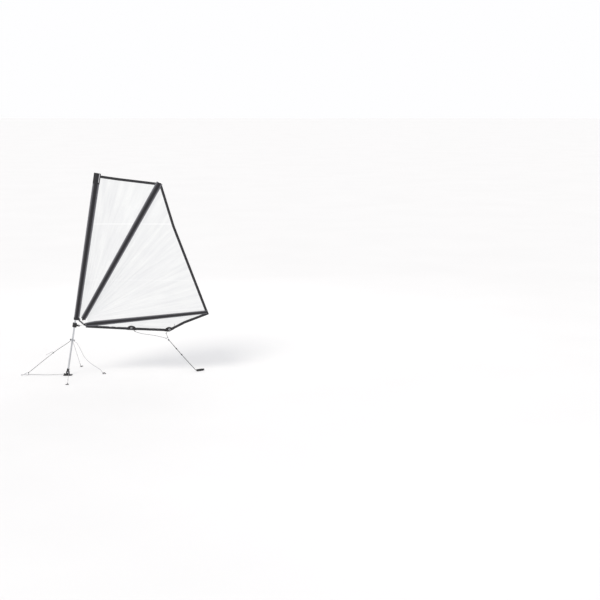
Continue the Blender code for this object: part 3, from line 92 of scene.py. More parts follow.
# The other sleeves, by distance from their pole's heel
SLEEVE_LOW = 0.012
SPRIT_HALVES = (0.0225, 0.0285)
BOOM_HALVES = (0.0150, 0.0230, 0.0155)
BOOM_FULL_AT = 0.100
POLE_CORE = 0.0083

# The sail's outline
HEAD_LINE = ((0.3380, 1.8130), (0.4985, 1.7900), (0.8790, 1.7440))
LEECH_LINE = ((0.8850, 1.7330), (0.9934, 1.3619), (1.2894, 0.5631))
FOOT_LINE = ((0.1760, 0.4400), (0.5377, 0.4217), (0.9296, 0.4060), (1.0717, 0.4787), (1.2894, 0.5631))
TAPE_WIDTH = 0.023
TAPE_HALF = 0.0008
TAPE_STEP = 0.012
SEAM_TUCK = 0.006
SLEEVE_TUCK = 0.004
CLOTH_HALF = 0.0008
HEM_TURN = 0.008
HEAD_CROWN = 0.0004
POCKET_CLOSE = 0.020
SPRIT_POCKET_HIGH = 1.424
BOOM_POCKET_HIGH = 1.116
POCKET_LOW = 0.004
POLE_PLAY = 0.004
CHART_HALF = 0.025

# The cloth: how far its panels belly, where they start by the tack, its creases and lapped joins
UPPER_BELLY = 0.016
MAIN_BELLY = 0.030
UPPER_STARTS = (0.028, 0.024)
MAIN_START = 0.036
FOOT_MARGINS = (0.02, 0.05, 0.008)
CREASE_DEPTH = 0.0042
LAP_HALF = 0.0055
CLOTH_LAPS = ((1.380, 0.24), (0.871, 0.09))

# The head's tab
TAB_AFT = 0.0262
TAB_SIDE = 0.0031
TAB_LOW = 0.082
TAB_LENGTH = 0.076
TAB_WIDTH = 0.0062
WEBBING_THICK = 0.0012

# The foot's patches and hooks
PATCH_REACHES = (0.588, 0.930)
PATCH_RADIUS = 0.0455
PATCH_RISE = 0.0400
PATCH_HALF = 0.0023
EYELET_RISE = 0.0170
PATCH_HOLE = 0.0058
PATCH_LIP = 0.0022

# The strap, lashing and small rings at the tack, one ring at the sprit's head, and the bar by the aft patch
STRAP_WIDTH = 0.0136
STRAP_THICK = 0.0018
STRAP_REACH = 0.0107
STRAP_STAND_OFF = 0.0036
STRAP_LAP = 0.0200
STRAP_BEND = (0.1334, 0.4928)
STRAP_SHORT = 0.0100
LASHING_EYE = Vector((0.0400, 0, 0.4414))
LASHING_SHORT = 0.0129
LASHING_HALF = 0.0040
LASHING_TURN = (0.0012, 0.0060)
LASHING_RADIUS = 0.0012
RING_RADIUS = 0.0034
RING_WIRE = 0.0011
STRAP_RING_SIDE = 0.0016
STRAP_RING_SHARES = (0.16, 0.36, 0.56, 0.76, 0.93)
RING_SPOTS = (
    ("sprit", (0.1533, -0.0065, 0.5085), (0.26, -0.70, -0.65)),
    ("boom", (0.1790, -0.0084, 0.4705), (0, -1, 0)),
    ("boom", (0.1850, -0.0009, 0.4450), (0, -1, 0)),
    ("sprit", (0.8280, -0.0009, 1.7385), (0, -1, 0)),
)
BAR_LOW = Vector((0.9765, -0.0010, 0.4560))
BAR_LENGTH = 0.0185
BAR_WIDTH = 0.0050
BAR_THICK = 0.0010

# Cords
STAY_RADIUS = 0.0015
UPHAUL_RADIUS = 0.0020
SHEET_RADIUS = 0.0026
BRIDLE_RADIUS = 0.0018
TAIL_RADIUS = 0.0014
KNOT_REACH = 2.2
KNOT_SIZE = 2.1
PLATE_KNOT_RISE = 3.9
PLATE_DROP = 5
STAY_PLATE_REACH = 0.2993
STAY_HOLE_REACH = 0.0182
PLATE_HALF = 0.0015
GAP = 0.0003
SIDE_RING = Vector((0.060, 0.360, 0.0023))
SIDE_RING_NOSE = 0.0132
SIDE_TIE = 0.0026
ADJUSTER_SHARE = 0.93
BOW_RING = Vector((-0.372, 0, 0.0131))
BOW_RIM = 0.0134
UPHAUL_WAY = Vector((0.82, 0, 0.57))
UPHAUL_KNOT = Vector((-0.1265, 0, 0.2075))
TAIL_WAY = Vector((-0.6, 0, 0.8))
TAIL_STEPS = (0.0061, 0.0132)
TAIL_END = Vector((-0.193, 0, 0.1871))
FALL_WAY = Vector((0.95, 0, -0.30))
FALL_MIDDLE_HEIGHT = 0.0054
FALL_NEAR_BECKET = (-0.044, -0.0096)
BECKET = Vector((-0.028, 0, 0.012))
BECKET_SIDE = 0.0066
BRIDLE_RING = Vector((0.9125, 0, 0.3385))
BRIDLE_WAYS = ((-0.94, 0.34), (0.22, 0.97))
BRIDLE_SAG = ((0.6815, 0.3849), (0.7987, 0.3675))
BRIDLE_FIRST_KNOT = 1.7
RING_STAND_OFF = 0.0101
HOOK_TIE = 0.0407
HOOK_WAYS = ((0.70, -0.71), (-0.67, -0.74))
HOOK_LEAD = 4
CLEAT = Vector((1.186, 0.180, 0.0108))
CLEAT_MOUTH = 0.033
CLEAT_RUN_IN = (0.0156, 0.0078)
CLEAT_RUN_OUT = 0.046
SHEET_KNOT_SHARES = (0.24, 0.40)
SHEET_STEPS = 150
DOWNHAUL_END = Vector((0.3088, 0.054, 0.0069))
DOWNHAUL_ROUTE = (
    (0.0860, 0, 0.3020),
    (0.1060, 0, 0.2700),
    (0.1250, 0.003, 0.2300),
    (0.1450, 0.008, 0.1830),
    (0.1700, 0.015, 0.1440),
    (0.2050, 0.026, 0.1060),
    (0.2480, 0.038, 0.0720),
    (0.2900, 0.048, 0.0390),
)
SHEET_ROUTE = (
    (0.9509, 0.0231, 0.2861),
    (0.9914, 0.0503, 0.2283),
    (1.0320, 0.0774, 0.1715),
    (1.0725, 0.1046, 0.1157),
    (1.1130, 0.1318, 0.0614),
)

# Floor, light and camera
FLOOR_HALF = 90
SUN_POWER = 1.3
SUN_SPREAD = math.radians(24)
SUN_WAY = Vector((0.45, 0.75, -0.85))
LAMPS = (
    ("fill", (4.5, -4.5, 2.6), (0.6, 0, 0.8), (3.0, 2.0), 12, "#EEF3FF"),
    ("behind", (1.5, 4.5, 3.6), (0.6, 0, 1.0), (2.6, 1.8), 25, "#FFFFFF"),
)
VIEW_PLACE = Vector((2.110, -11.2, 2.6))
VIEW_DIP = math.radians(9.66)
VIEW_LENS = 75.74


# Shapes
def lerp(a, b, share):
    return a + (b - a) * share


def flat(point):
    """A point of the sail plane from its X and Z."""
    return Vector((point[0], 0, point[1]))


def pole_frame(heel, lean):
    """The matrix of a pole: its Z runs along it and its X points aft of it."""
    return Matrix.Translation(heel) @ Matrix.Rotation(lean, 4, "Y")


MAST = pole_frame(Vector((0, 0, HINGE_HEIGHT)), MAST_RAKE)
SPRIT = pole_frame(SPRIT_HEEL, SPRIT_LEAN)
BOOM = pole_frame(BOOM_HEEL, BOOM_LEAN)


def luff_edges(reach):
    share = (reach - LUFF_LOW) / (LUFF_HIGH - LUFF_LOW)
    return lerp(*LUFF_FRONTS, share), lerp(*LUFF_AFTS, share)


def sprit_edges(reach):
    half = lerp(*SPRIT_HALVES, reach / SPRIT_LENGTH)
    return half, half


def boom_edges(reach):
    if reach < BOOM_FULL_AT:
        half = lerp(BOOM_HALVES[0], BOOM_HALVES[1], (reach - SLEEVE_LOW) / (BOOM_FULL_AT - SLEEVE_LOW))
    else:
        half = lerp(BOOM_HALVES[1], BOOM_HALVES[2], (reach - BOOM_FULL_AT) / (BOOM_LENGTH - BOOM_FULL_AT))
    return half, half


def placed(name, data):
    """A new object in the scene."""
    item = bpy.data.objects.new(name, data)
    bpy.context.scene.collection.objects.link(item)
    return item


def made(name, shape, look, crease=None):
    """A finished object from a bmesh, with a material and smooth shading."""
    mesh = bpy.data.meshes.new(name)
    shape.to_mesh(mesh)
    shape.free()
    mesh.shade_smooth()
    if crease:
        mesh.set_sharp_from_angle(angle=math.radians(crease))
    mesh.materials.append(look)
    return placed(name, mesh)


def surface(name, place_at, counts, look, chart_at, closed=False, crease=None):
    """A grid of faces laid out by place_at(u, v), with its texture laid out in metres by chart_at(u, v)."""
    shape = bmesh.new()
    bmesh.ops.create_grid(shape, x_segments=counts[0], y_segments=counts[1], size=0.5)
    chart = shape.loops.layers.uv.new("cloth")
    shares = {vert: (vert.co.x + 0.5, vert.co.y + 0.5) for vert in shape.verts}
    for face in shape.faces:
        for loop in face.loops:
            loop[chart].uv = chart_at(*shares[loop.vert])
    for vert, (u, v) in shares.items():
        vert.co = place_at(u, v)
    if closed:
        bmesh.ops.remove_doubles(shape, verts=shape.verts, dist=0.000002)
        bmesh.ops.recalc_face_normals(shape, faces=shape.faces)
    return made(name, shape, look, crease)


def spans(line):
    return [(b - a).length for a, b in zip(line, line[1:])]


def at_share(line, share):
    """The point of an open line at a share of its length."""
    lengths = spans(line)
    target = share * sum(lengths)
    for start, end, length in zip(line, line[1:], lengths):
        if target <= length:
            return start.lerp(end, target / length)
        target -= length
    return line[-1]


def running(points):
    total = [0.0]
    for first, second in zip(points, points[1:]):
        total.append(total[-1] + (second - first).length)
    return total


def smooth_route(points, count):
    """Points at even steps along the smooth curve that passes through the given ones."""
    spots = [Vector(point) for point in points]
    spots = [2 * spots[0] - spots[1]] + spots + [2 * spots[-1] - spots[-2]]
    dense = []
    for a, b, c, d in zip(spots, spots[1:], spots[2:], spots[3:]):
        for step in range(40):
            t = step / 40
            bend = (2 * a - 5 * b + 4 * c - d) * t**2 + (3 * b - a - 3 * c + d) * t**3
            dense.append(b + ((c - a) * t + bend) / 2)
    dense.append(spots[-2])
    run = running(dense)
    route = []
    index = 0
    for step in range(count):
        target = run[-1] * step / (count - 1)
        while index < len(run) - 2 and run[index + 1] < target:
            index += 1
        part = (target - run[index]) / (run[index + 1] - run[index])
        route.append(dense[index].lerp(dense[index + 1], min(1.0, max(0.0, part))))
    return route


def turned(across, up, angle):
    """The way at an angle between two ways that are square to each other."""
    return across * math.cos(angle) + up * math.sin(angle)


def headings(route, closed=False):
    """The way a route runs at each of its points."""
    if closed:
        ahead, behind = route[1:] + route[:1], route[-1:] + route[:-1]
    else:
        ahead, behind = route[1:] + route[-1:], route[:1] + route[:-1]
    return [(after - before).normalized() for before, after in zip(behind, ahead)]


def sweep_frames(route, closed=False):
    """Two directions square to the route at each of its points, turned as little as possible."""
    runs = headings(route, closed)
    across = runs[0].orthogonal().normalized()
    frames = []
    for run in runs:
        across = (across - run * across.dot(run)).normalized()
        frames.append((across.copy(), run.cross(across)))
    return frames


def wound(route, radius):
    """The chart of a tube: its turns, and its length in the same measure."""
    length = running(route)[-1]
    return lambda u, v: (u, v * length / (math.tau * radius))


def rope(name, points, radius, look, count=60, sides=10):
    """A braided cord as a tube on a smooth route, with rounded ends. Returns it and its route."""
    route = smooth_route(points, count)
    frames = sweep_frames(route)

    def place_at(u, v):
        index = round(v * (count + 1)) - 1
        size = 0.0 if index in (-1, count) else 0.8 if index in (0, count - 1) else 1.0
        index = min(max(index, 0), count - 1)
        return route[index] + turned(*frames[index], math.tau * u) * (radius * size)

    return surface(name, place_at, (sides, count + 1), look, wound(route, radius), closed=True), route


def loop_of(name, points, radius, look, sides=8):
    """A closed ring of cord or wire through the given points."""
    count = len(points)
    frames = sweep_frames(points, closed=True)
    first, last = frames[0][0], frames[-1]
    slip = math.atan2(first.dot(last[1]), first.dot(last[0]))

    def place_at(u, v):
        index = round(v * count)
        angle = math.tau * u + slip * (index % count) / count
        return points[index % count] + turned(*frames[index % count], angle) * radius

    return surface(name, place_at, (sides, count), look, wound(points, radius), closed=True)


def knot(name, centre, way, radius, look):
    """An overhand knot pulled tight, as a cord that winds through itself about the way it is pulled."""
    turn = way.normalized().to_track_quat("Z", "Y").to_matrix()
    size = radius * KNOT_SIZE / 3
    points = []
    for step in range(72):
        angle = math.tau * step / 72
        spot = Vector((
            math.sin(angle) + 2 * math.sin(2 * angle),
            math.cos(angle) - 2 * math.cos(2 * angle),
            -1.6 * math.sin(3 * angle),
        ))
        points.append(centre + turn @ (spot * size))
    return loop_of(name, points, radius * 0.82, look)


def sleeve_spot(frame_at, edges, core, full, u, reach, grow, wrinkle):
    """A point round a flattened tube of cloth: round over its pole, with a flat sewn flange at each side."""
    front, aft = edges(reach)
    angle = math.tau * u
    middle, half = (aft - front) / 2, (aft + front) / 2 + grow
    x = middle + math.cos(angle) * half
    rim = math.sqrt(abs(math.sin(angle)))
    bulge = math.exp(-((x / (1.28 * core)) ** 4))
    thick = (FLANGE + grow) * rim + (full - FLANGE) * bulge
    ripple = noise.noise(Vector((x * 38, math.sin(angle), reach * 21))) * wrinkle * (0.35 + bulge) * rim
    y = math.copysign(thick, math.sin(angle)) * (rim > 0.02) + ripple
    return frame_at @ Vector((x, y, reach))


def sleeve(
    name, frame_at, edges, core, low, high, look, count, grow=0.0, wrinkle=0.0009, shut=False, pole_end=None
):
    """A sewn sleeve between two distances from the pole's heel, its ends turned in or drawn shut.

    Past the pole's end it closes to flat cloth.
    """
    rows = [(low + HEM_TURN, grow - CLOTH_HALF, 0.0), (low, grow - CLOTH_HALF / 2, 0.0)]
    rows += [(lerp(low, high, step / count), grow, 0.0) for step in range(count + 1)]
    if shut:
        rows += [(high + HEAD_CROWN * share * (2 - share), grow, share) for share in (0.12, 0.35, 0.65, 1.0)]
    else:
        rows += [(high, grow - CLOTH_HALF / 2, 0.0), (high - HEM_TURN, grow - CLOTH_HALF, 0.0)]

    def place_at(u, v):
        reach, swell, gather = rows[round(v * (len(rows) - 1))]
        past = min(1.0, max(0.0, (reach - pole_end) / POCKET_CLOSE)) if pole_end else 0.0
        full = lerp(core, FLANGE, past * past * (3 - 2 * past))
        spot = sleeve_spot(frame_at, edges, core, full, u, reach, swell, wrinkle)
        front, aft = edges(reach)
        return spot.lerp(frame_at @ Vector(((aft - front) / 2, 0, reach)), gather)

    def chart_at(u, v):
        return math.cos(math.tau * u) * CHART_HALF, rows[round(v * (len(rows) - 1))][0]

    return surface(name, place_at, (44, len(rows) - 1), look, chart_at, closed=True)


def coons(low, high, left, right, u, v):
    """The point at shares u and v of the patch inside four lines, whose ends meet."""
    sides = at_share(left, v).lerp(at_share(right, v), u)
    ends = at_share(low, u).lerp(at_share(high, u), v)
    lows = low[0].lerp(low[-1], u)
    highs = high[0].lerp(high[-1], u)
    return sides + ends - lows.lerp(highs, v)


def cloth_panel(name, sides, counts, belly, draft, creases, look):
    """A panel of the sail: a crowned sheet with fine creases that run out from the tack."""

    def place_at(u, v):
        spot = coons(*sides, u, v)
        crown = belly * math.sin(math.pi * u) * math.sin(math.pi * v**draft)
        broad = noise.noise(Vector((u * creases, v * 1.1, 3.7)))
        fine = noise.noise(Vector((u * creases * 2.7, v * 2.3, 9.1)))
        held = min(1.0, 6 * u * (1 - u)) * min(1.0, 5 * v * (1 - v) + 0.05)
        spot.y = crown + (broad + 0.5 * fine) * held * CREASE_DEPTH * (1.15 - v)
        return spot

    def chart_at(u, v):
        spot = coons(*sides, u, v)
        return spot.x, spot.z

    return surface(name, place_at, counts, look, chart_at)


def at_station(line, station):
    """The point of a line at a corner's number, or at a share of the way on to the next."""
    index = min(int(station), len(line) - 2)
    return line[index].lerp(line[index + 1], station - index)


def tape(name, outer, inner, look, sides=12):
    """A folded edge tape between two lines of the sail plane: rounded at its fold, thin where it is sewn."""
    marks = []
    for index, length in enumerate(spans(outer)):
        steps = max(1, round(length / TAPE_STEP))
        marks += [index + step / steps for step in range(steps)]
    marks.append(len(outer) - 1)
    runs = running([at_station(outer, mark) for mark in marks])

    def place_at(u, v):
        mark = marks[round(v * (len(marks) - 1))]
        across = (1 - math.cos(math.tau * u)) / 2
        spot = at_station(outer, mark).lerp(at_station(inner, mark), across)
        full = abs(math.sin(math.tau * u)) ** 0.35
        ripple = noise.noise(Vector((spot.x * 55, across, spot.z * 55))) * 0.0002
        spot.y = math.copysign(TAPE_HALF * full, math.sin(math.tau * u)) * (full > 0.05) + ripple
        return spot

    def chart_at(u, v):
        return (1 - math.cos(math.tau * u)) / 2 * TAPE_WIDTH, runs[round(v * (len(marks) - 1))]

    return surface(name, place_at, (sides, len(marks) - 1), look, chart_at, closed=True)


def nearest_on(line, spot):
    """The point of a line that lies nearest to a spot."""
    best = None
    for start, end in zip(line, line[1:]):
        run = end - start
        share = min(1.0, max(0.0, (spot - start).dot(run) / run.dot(run)))
        found = start + run * share
        if best is None or (found - spot).length < (best - spot).length:
            best = found
    return best


def outline_reach(outline, centre, angle):
    """How far an outline lies from a centre inside it, at an angle in the sail plane."""
    way = flat((math.cos(angle), math.sin(angle)))
    reaches = []
    for a, b in zip(outline, outline[1:] + outline[:1]):
        run = b - a
        cross = way.x * run.z - way.z * run.x
        if abs(cross) < 1e-9:
            continue
        reach = ((a.x - centre.x) * run.z - (a.z - centre.z) * run.x) / cross
        share = ((a.x - centre.x) * way.z - (a.z - centre.z) * way.x) / cross
        if reach > 0 and -1e-6 <= share <= 1 + 1e-6:
            reaches.append(reach)
    return min(reaches)


def patch(name, outline, centre, look):
    """A reinforcing patch folded round the foot, sewn down at its edge, with a hole for its eyelet."""
    faces = 7
    shares = [step / faces for step in range(faces + 1)]
    rows = [(share, -1) for share in shares] + [(share, 1) for share in reversed(shares)]

    def place_at(u, v):
        index = round(v * len(rows)) % len(rows)
        share, side = rows[index]
        angle = math.tau * u
        reach = outline_reach(outline, centre, angle)
        way = flat((math.cos(angle), math.sin(angle)))
        thick = PATCH_HALF * min(1.0, math.sqrt(max(0.0, 1 - share**8)) + 0.25)
        spot = centre + way * lerp(PATCH_HOLE, reach, share)
        spot.y = side * (thick + noise.noise(Vector((spot.x * 90, side, spot.z * 90))) * 0.0002)
        return spot

    def chart_at(u, v):
        share = rows[round(v * len(rows)) % len(rows)][0]
        angle = math.tau * u
        return (1 - share) * outline_reach(outline, centre, angle), angle * 0.030

    return surface(name, place_at, (72, len(rows)), look, chart_at, closed=True, crease=50)


def strip(name, line, ways, width, thick, look):
    """A webbing strip along a line, with its width along the way given at each of its points."""
    steps = (-1, -0.5, 0, 0.5, 1)
    shape_shares = [(step, -1) for step in steps] + [(step, 1) for step in reversed(steps)]
    lengths, heads = running(line), headings(line)

    def place_at(u, v):
        index = round(v * (len(line) - 1))
        across, deep = shape_shares[round(u * len(shape_shares)) % len(shape_shares)]
        way = ways[index].normalized()
        out = heads[index].cross(way).normalized()
        return line[index] + way * (across * width / 2) + out * (deep * thick / 2)

    def chart_at(u, v):
        across = shape_shares[round(u * len(shape_shares)) % len(shape_shares)][0]
        return across * width / 2, lengths[round(v * (len(line) - 1))]

    return surface(name, place_at, (len(shape_shares), len(line) - 1), look, chart_at, closed=True, crease=40)


def grommet(name, centre, facing, radius, wire_radius, look):
    """A small pressed ring that lies flat against what it is sewn or pressed into."""
    across = facing.orthogonal().normalized()
    up = facing.cross(across).normalized()
    points = [centre + turned(across, up, math.tau * step / 24) * radius for step in range(24)]
    return loop_of(name, points, wire_radius, look)


def inset_line(line, width):
    """A line of the sail plane moved to its right by a width, with mitred corners."""
    spots = [Vector((point[0], point[-1])) for point in line]
    sides = []
    for first, second in zip(spots, spots[1:]):
        run = (second - first).normalized()
        sides.append(Vector((run.y, -run.x)))
    moved = [spots[0] + sides[0] * width]
    for spot, before, after in zip(spots[1:-1], sides, sides[1:]):
        middle = (before + after).normalized()
        moved.append(spot + middle * (width / middle.dot(after)))
    moved.append(spots[-1] + sides[-1] * width)
    return [flat(spot) for spot in moved]


def crossing(first_span, second_span):
    """Where two straight spans of the sail plane cross, both taken as endless."""
    a, b = first_span
    c, d = second_span
    run, other = b - a, d - c
    cross = run.x * other.z - run.z * other.x
    return a + run * (((c.x - a.x) * other.z - (c.z - a.z) * other.x) / cross)


# Finishes
def colour(code):
    """A linear colour from an sRGB hex code."""
    parts = [int(code[at:at + 2], 16) / 255 for at in (1, 3, 5)]
    linear = [part / 12.92 if part <= 0.04045 else ((part + 0.055) / 1.055) ** 2.4 for part in parts]
    return (*linear, 1.0)


def add(tree, kind, values=None, **settings):
    """A shader node with its settings, its named sockets set to constants or joined to outputs."""
    node = tree.nodes.new(kind)
    for key, value in settings.items():
        setattr(node, key, value)
    for key, value in (values or {}).items():
        if isinstance(value, bpy.types.NodeSocket):
            tree.links.new(value, node.inputs[key])
        else:
            node.inputs[key].default_value = value
    return node


def maths(tree, operation, *values):
    return add(tree, "ShaderNodeMath", dict(enumerate(values)), operation=operation).outputs[0]


def times(tree, first, second):
    return maths(tree, "MULTIPLY", first, second)


def ranged(tree, value, from_low, from_high, low, high):
    """A value spread from one range over another."""
    ends = {"From Min": from_low, "From Max": from_high, "To Min": low, "To Max": high}
    return add(tree, "ShaderNodeMapRange", {"Value": value, **ends}).outputs[0]


def charted(tree):
    """The piece's chart in metres, whole and split into across and along."""
    chart = add(tree, "ShaderNodeUVMap", uv_map="cloth").outputs[0]
    return chart, add(tree, "ShaderNodeSeparateXYZ", {0: chart})


def tint(tree, share, first, second):
    """A colour between two, by a share."""
    return add(tree, "ShaderNodeMix", {0: share, 6: first, 7: second}, data_type="RGBA").outputs[2]


def new_look(name, base, roughness, metallic=0.0):
    made_look = bpy.data.materials.new(name)
    made_look.use_nodes = True
    tree = made_look.node_tree
    shader = tree.nodes["Principled BSDF"]
    shader.inputs["Base Color"].default_value = colour(base)
    shader.inputs["Roughness"].default_value = roughness
    shader.inputs["Metallic"].default_value = metallic
    return made_look, tree, shader


def noised(tree, vector, scale, detail, roughness=0.5):
    """A noise texture's value."""
    values = {"Vector": vector, "Scale": scale, "Detail": detail, "Roughness": roughness}
    return add(tree, "ShaderNodeTexNoise", values).outputs[0]


def mottle(tree, vector, scale, low, high):
    """Soft cloudy variation between two values."""
    return ranged(tree, noised(tree, vector, scale, 3.0), 0.3, 0.7, low, high)


def paint(tree, shader, skin):
    tree.links.new(skin, shader.inputs["Base Color"])


def bump(tree, shader, height, distance, strength):
    node = add(tree, "ShaderNodeBump", {"Height": height, "Distance": distance, "Strength": strength})
    tree.links.new(node.outputs[0], shader.inputs["Normal"])


def weave_height(tree, split, pitch):
    """Over-and-under threads of a plain weave, from two sets of ribs."""
    turns = math.pi / pitch
    warp = maths(tree, "ABSOLUTE", maths(tree, "SINE", times(tree, split.outputs[0], turns)))
    weft = maths(tree, "ABSOLUTE", maths(tree, "SINE", times(tree, split.outputs[1], turns)))
    return times(tree, maths(tree, "ADD", warp, weft), 0.5)


def stitch_mask(tree, split, rows, pitch=0.0042, thread=0.0006):
    """Where the thread shows: dashes along each row, at a distance across the cloth."""
    along = maths(tree, "FRACT", maths(tree, "DIVIDE", split.outputs[1], pitch))
    dash = maths(tree, "LESS_THAN", along, 0.66)
    total = 0.0
    for row in rows:
        off = maths(tree, "ABSOLUTE", maths(tree, "SUBTRACT", split.outputs[0], row))
        total = maths(tree, "MAXIMUM", total, maths(tree, "LESS_THAN", off, thread / 2))
    return times(tree, total, dash)


def woven(name, base, light, pitch, roughness, rows=(), thread="#77777C", painted_highlight=None):
    """A woven cloth: threads, soft fading, rows of stitching where it is sewn, and where given a painted
    highlight that makes a sleeve paler towards its flanges.
    """
    made_look, tree, shader = new_look(name, base, roughness)
    chart, split = charted(tree)
    threads = weave_height(tree, split, pitch)
    fade = mottle(tree, chart, 26.0, 0.0, 0.55)
    skin = tint(tree, fade, colour(base), colour(light))
    if painted_highlight:
        # painted highlight: the cloth is painted paler towards its flat flanges than over the pole
        inner, outer, highlight_colour = painted_highlight
        pale = ranged(tree, maths(tree, "ABSOLUTE", split.outputs[0]), inner, outer, 0.0, 0.85)
        skin = tint(tree, pale, skin, colour(highlight_colour))
    height = threads
    if rows:
        mask = stitch_mask(tree, split, rows)
        skin = tint(tree, mask, skin, colour(thread))
        height = maths(tree, "MULTIPLY_ADD", threads, 0.4, times(tree, mask, 1.4))
    paint(tree, shader, skin)
    shader.inputs["Sheen Weight"].default_value = 0.06
    bump(tree, shader, height, 0.00025, 0.6)
    return made_look


def fan_creases(tree, split):
    """Fine creases that run out from the tack, by each point's angle and distance about the sprit's heel."""
    x = maths(tree, "SUBTRACT", split.outputs[0], SPRIT_HEEL.x)
    z = maths(tree, "SUBTRACT", split.outputs[1], SPRIT_HEEL.z)
    lean = maths(tree, "ARCTAN2", x, z)
    squares = maths(tree, "ADD", times(tree, x, x), times(tree, z, z))
    reach = maths(tree, "SQRT", squares)
    spot = add(tree, "ShaderNodeCombineXYZ", {0: times(tree, lean, 26.0), 1: times(tree, reach, 2.2)})
    return noised(tree, spot.outputs[0], 1.0, 5.0, 0.6)


def sail_look():
    """Crisp pale sailcloth: it glows where light comes through, with a fine grid of stronger threads and
    painted shade along its fine creases.
    """
    made_look, tree, shader = new_look("sailcloth_white", "#EEEFEE", 0.42)
    chart, split = charted(tree)
    grid = 0.0
    for axis in (0, 1):
        across = maths(tree, "FRACT", maths(tree, "DIVIDE", split.outputs[axis], 0.006))
        grid = maths(tree, "MAXIMUM", grid, maths(tree, "LESS_THAN", across, 0.09))
    creases = fan_creases(tree, split)
    # painted shade: the cloth is painted darker along the fine creases that run out from the tack
    painted_crease_shade = maths(tree, "MULTIPLY_ADD", creases, 1.4, -0.38)
    cloud = mottle(tree, chart, 5.0, 0.0, 0.5)
    skin = tint(tree, cloud, colour("#EEEFEE"), colour("#E7E8E9"))
    skin = tint(tree, add(tree, "ShaderNodeClamp", {0: painted_crease_shade}).outputs[0], skin, colour("#D4D5D8"))
    skin = tint(tree, times(tree, grid, 0.35), skin, colour("#D4D5DA"))
    # cloths lapped where they are joined read paler, as two layers do
    for height, share in CLOTH_LAPS:
        off = maths(tree, "ABSOLUTE", maths(tree, "SUBTRACT", split.outputs[1], height))
        lap = times(tree, maths(tree, "LESS_THAN", off, LAP_HALF), share)
        skin = tint(tree, lap, skin, colour("#FFFFFF"))
    paint(tree, shader, skin)
    folds = times(tree, noised(tree, chart, 14.0, 6.0, 0.62), 4.0)
    relief = maths(tree, "ADD", folds, times(tree, grid, 0.25))
    relief = maths(tree, "ADD", relief, times(tree, creases, 7.5))
    bump(tree, shader, relief, 0.0006, 0.6)
    shader.inputs["Specular IOR Level"].default_value = 0.35
    glow = add(tree, "ShaderNodeBsdfTranslucent", {"Color": skin})
    mixed = add(tree, "ShaderNodeMixShader", {0: 0.42, 1: shader.outputs[0], 2: glow.outputs[0]})
    tree.links.new(mixed.outputs[0], tree.nodes["Material Output"].inputs["Surface"])
    return made_look


def braid_look(name, base, painted_groove_shade, fleck):
    """Braided cord: two sets of strands that wind against each other, with painted shade in the grooves
    between them and an occasional coloured strand.
    """
    made_look, tree, shader = new_look(name, base, 0.8)
    chart, split = charted(tree)
    u = times(tree, split.outputs[0], 8 * math.pi)
    v = times(tree, split.outputs[1], 5 * math.pi)
    right = maths(tree, "ABSOLUTE", maths(tree, "SINE", maths(tree, "ADD", u, v)))
    left = maths(tree, "ABSOLUTE", maths(tree, "SINE", maths(tree, "SUBTRACT", u, v)))
    height = maths(tree, "MAXIMUM", right, left)
    # painted shade: the cord is painted darker in the grooves between its strands
    skin = tint(tree, height, colour(painted_groove_shade), colour(base))
    cloud = mottle(tree, chart, 0.6, 0.0, 0.5)
    skin = tint(tree, cloud, skin, colour(fleck))
    paint(tree, shader, skin)
    bump(tree, shader, height, 0.0003, 0.8)
    return made_look


def moulded_look():
    """Black moulded nylon: a fine spark-eroded grain, dulled and paler in patches from handling."""
    made_look, tree, shader = new_look("nylon_moulded", "#121214", 0.45)
    spot = add(tree, "ShaderNodeTexCoord").outputs["Object"]
    tree.links.new(mottle(tree, spot, 90.0, 0.36, 0.6), shader.inputs["Roughness"])
    skin = tint(tree, mottle(tree, spot, 24.0, 0.0, 1.0), colour("#0D0D0F"), colour("#19191C"))
    paint(tree, shader, skin)
    bump(tree, shader, noised(tree, spot, 1400.0, 2.0), 0.00008, 0.5)
    return made_look


def metal_look(name, base, dull, roughness, stretch, lean, scale):
    """Bare metal with fine marks drawn out along the piece and faint dull patches."""
    made_look, tree, shader = new_look(name, base, roughness, 1.0)
    spot = add(tree, "ShaderNodeTexCoord").outputs["Object"]
    drawn = add(tree, "ShaderNodeMapping", {0: spot, "Rotation": (0, -lean, 0), "Scale": stretch})
    marks = noised(tree, drawn.outputs[0], scale, 4.0)
    cloud = mottle(tree, spot, 17.0, 0.0, 0.7)
    paint(tree, shader, tint(tree, cloud, colour(base), colour(dull)))
    rough = maths(tree, "MULTIPLY_ADD", marks, 0.22, roughness - 0.08)
    tree.links.new(rough, shader.inputs["Roughness"])
    bump(tree, shader, marks, 0.00005, 0.35)
    return made_look


def carbon_look():
    """Wound black tube: faint crossed bands under a clear coat."""
    made_look, tree, shader = new_look("tube_black", "#141416", 0.35)
    spot = add(tree, "ShaderNodeTexCoord").outputs["Object"]
    values = {"Vector": spot, "Scale": 60.0, "Distortion": 1.5}
    bands = add(tree, "ShaderNodeTexWave", values, bands_direction="DIAGONAL")
    skin = tint(tree, bands.outputs[1], colour("#101012"), colour("#26262A"))
    paint(tree, shader, skin)
    shader.inputs["Coat Weight"].default_value = 0.5
    return made_look


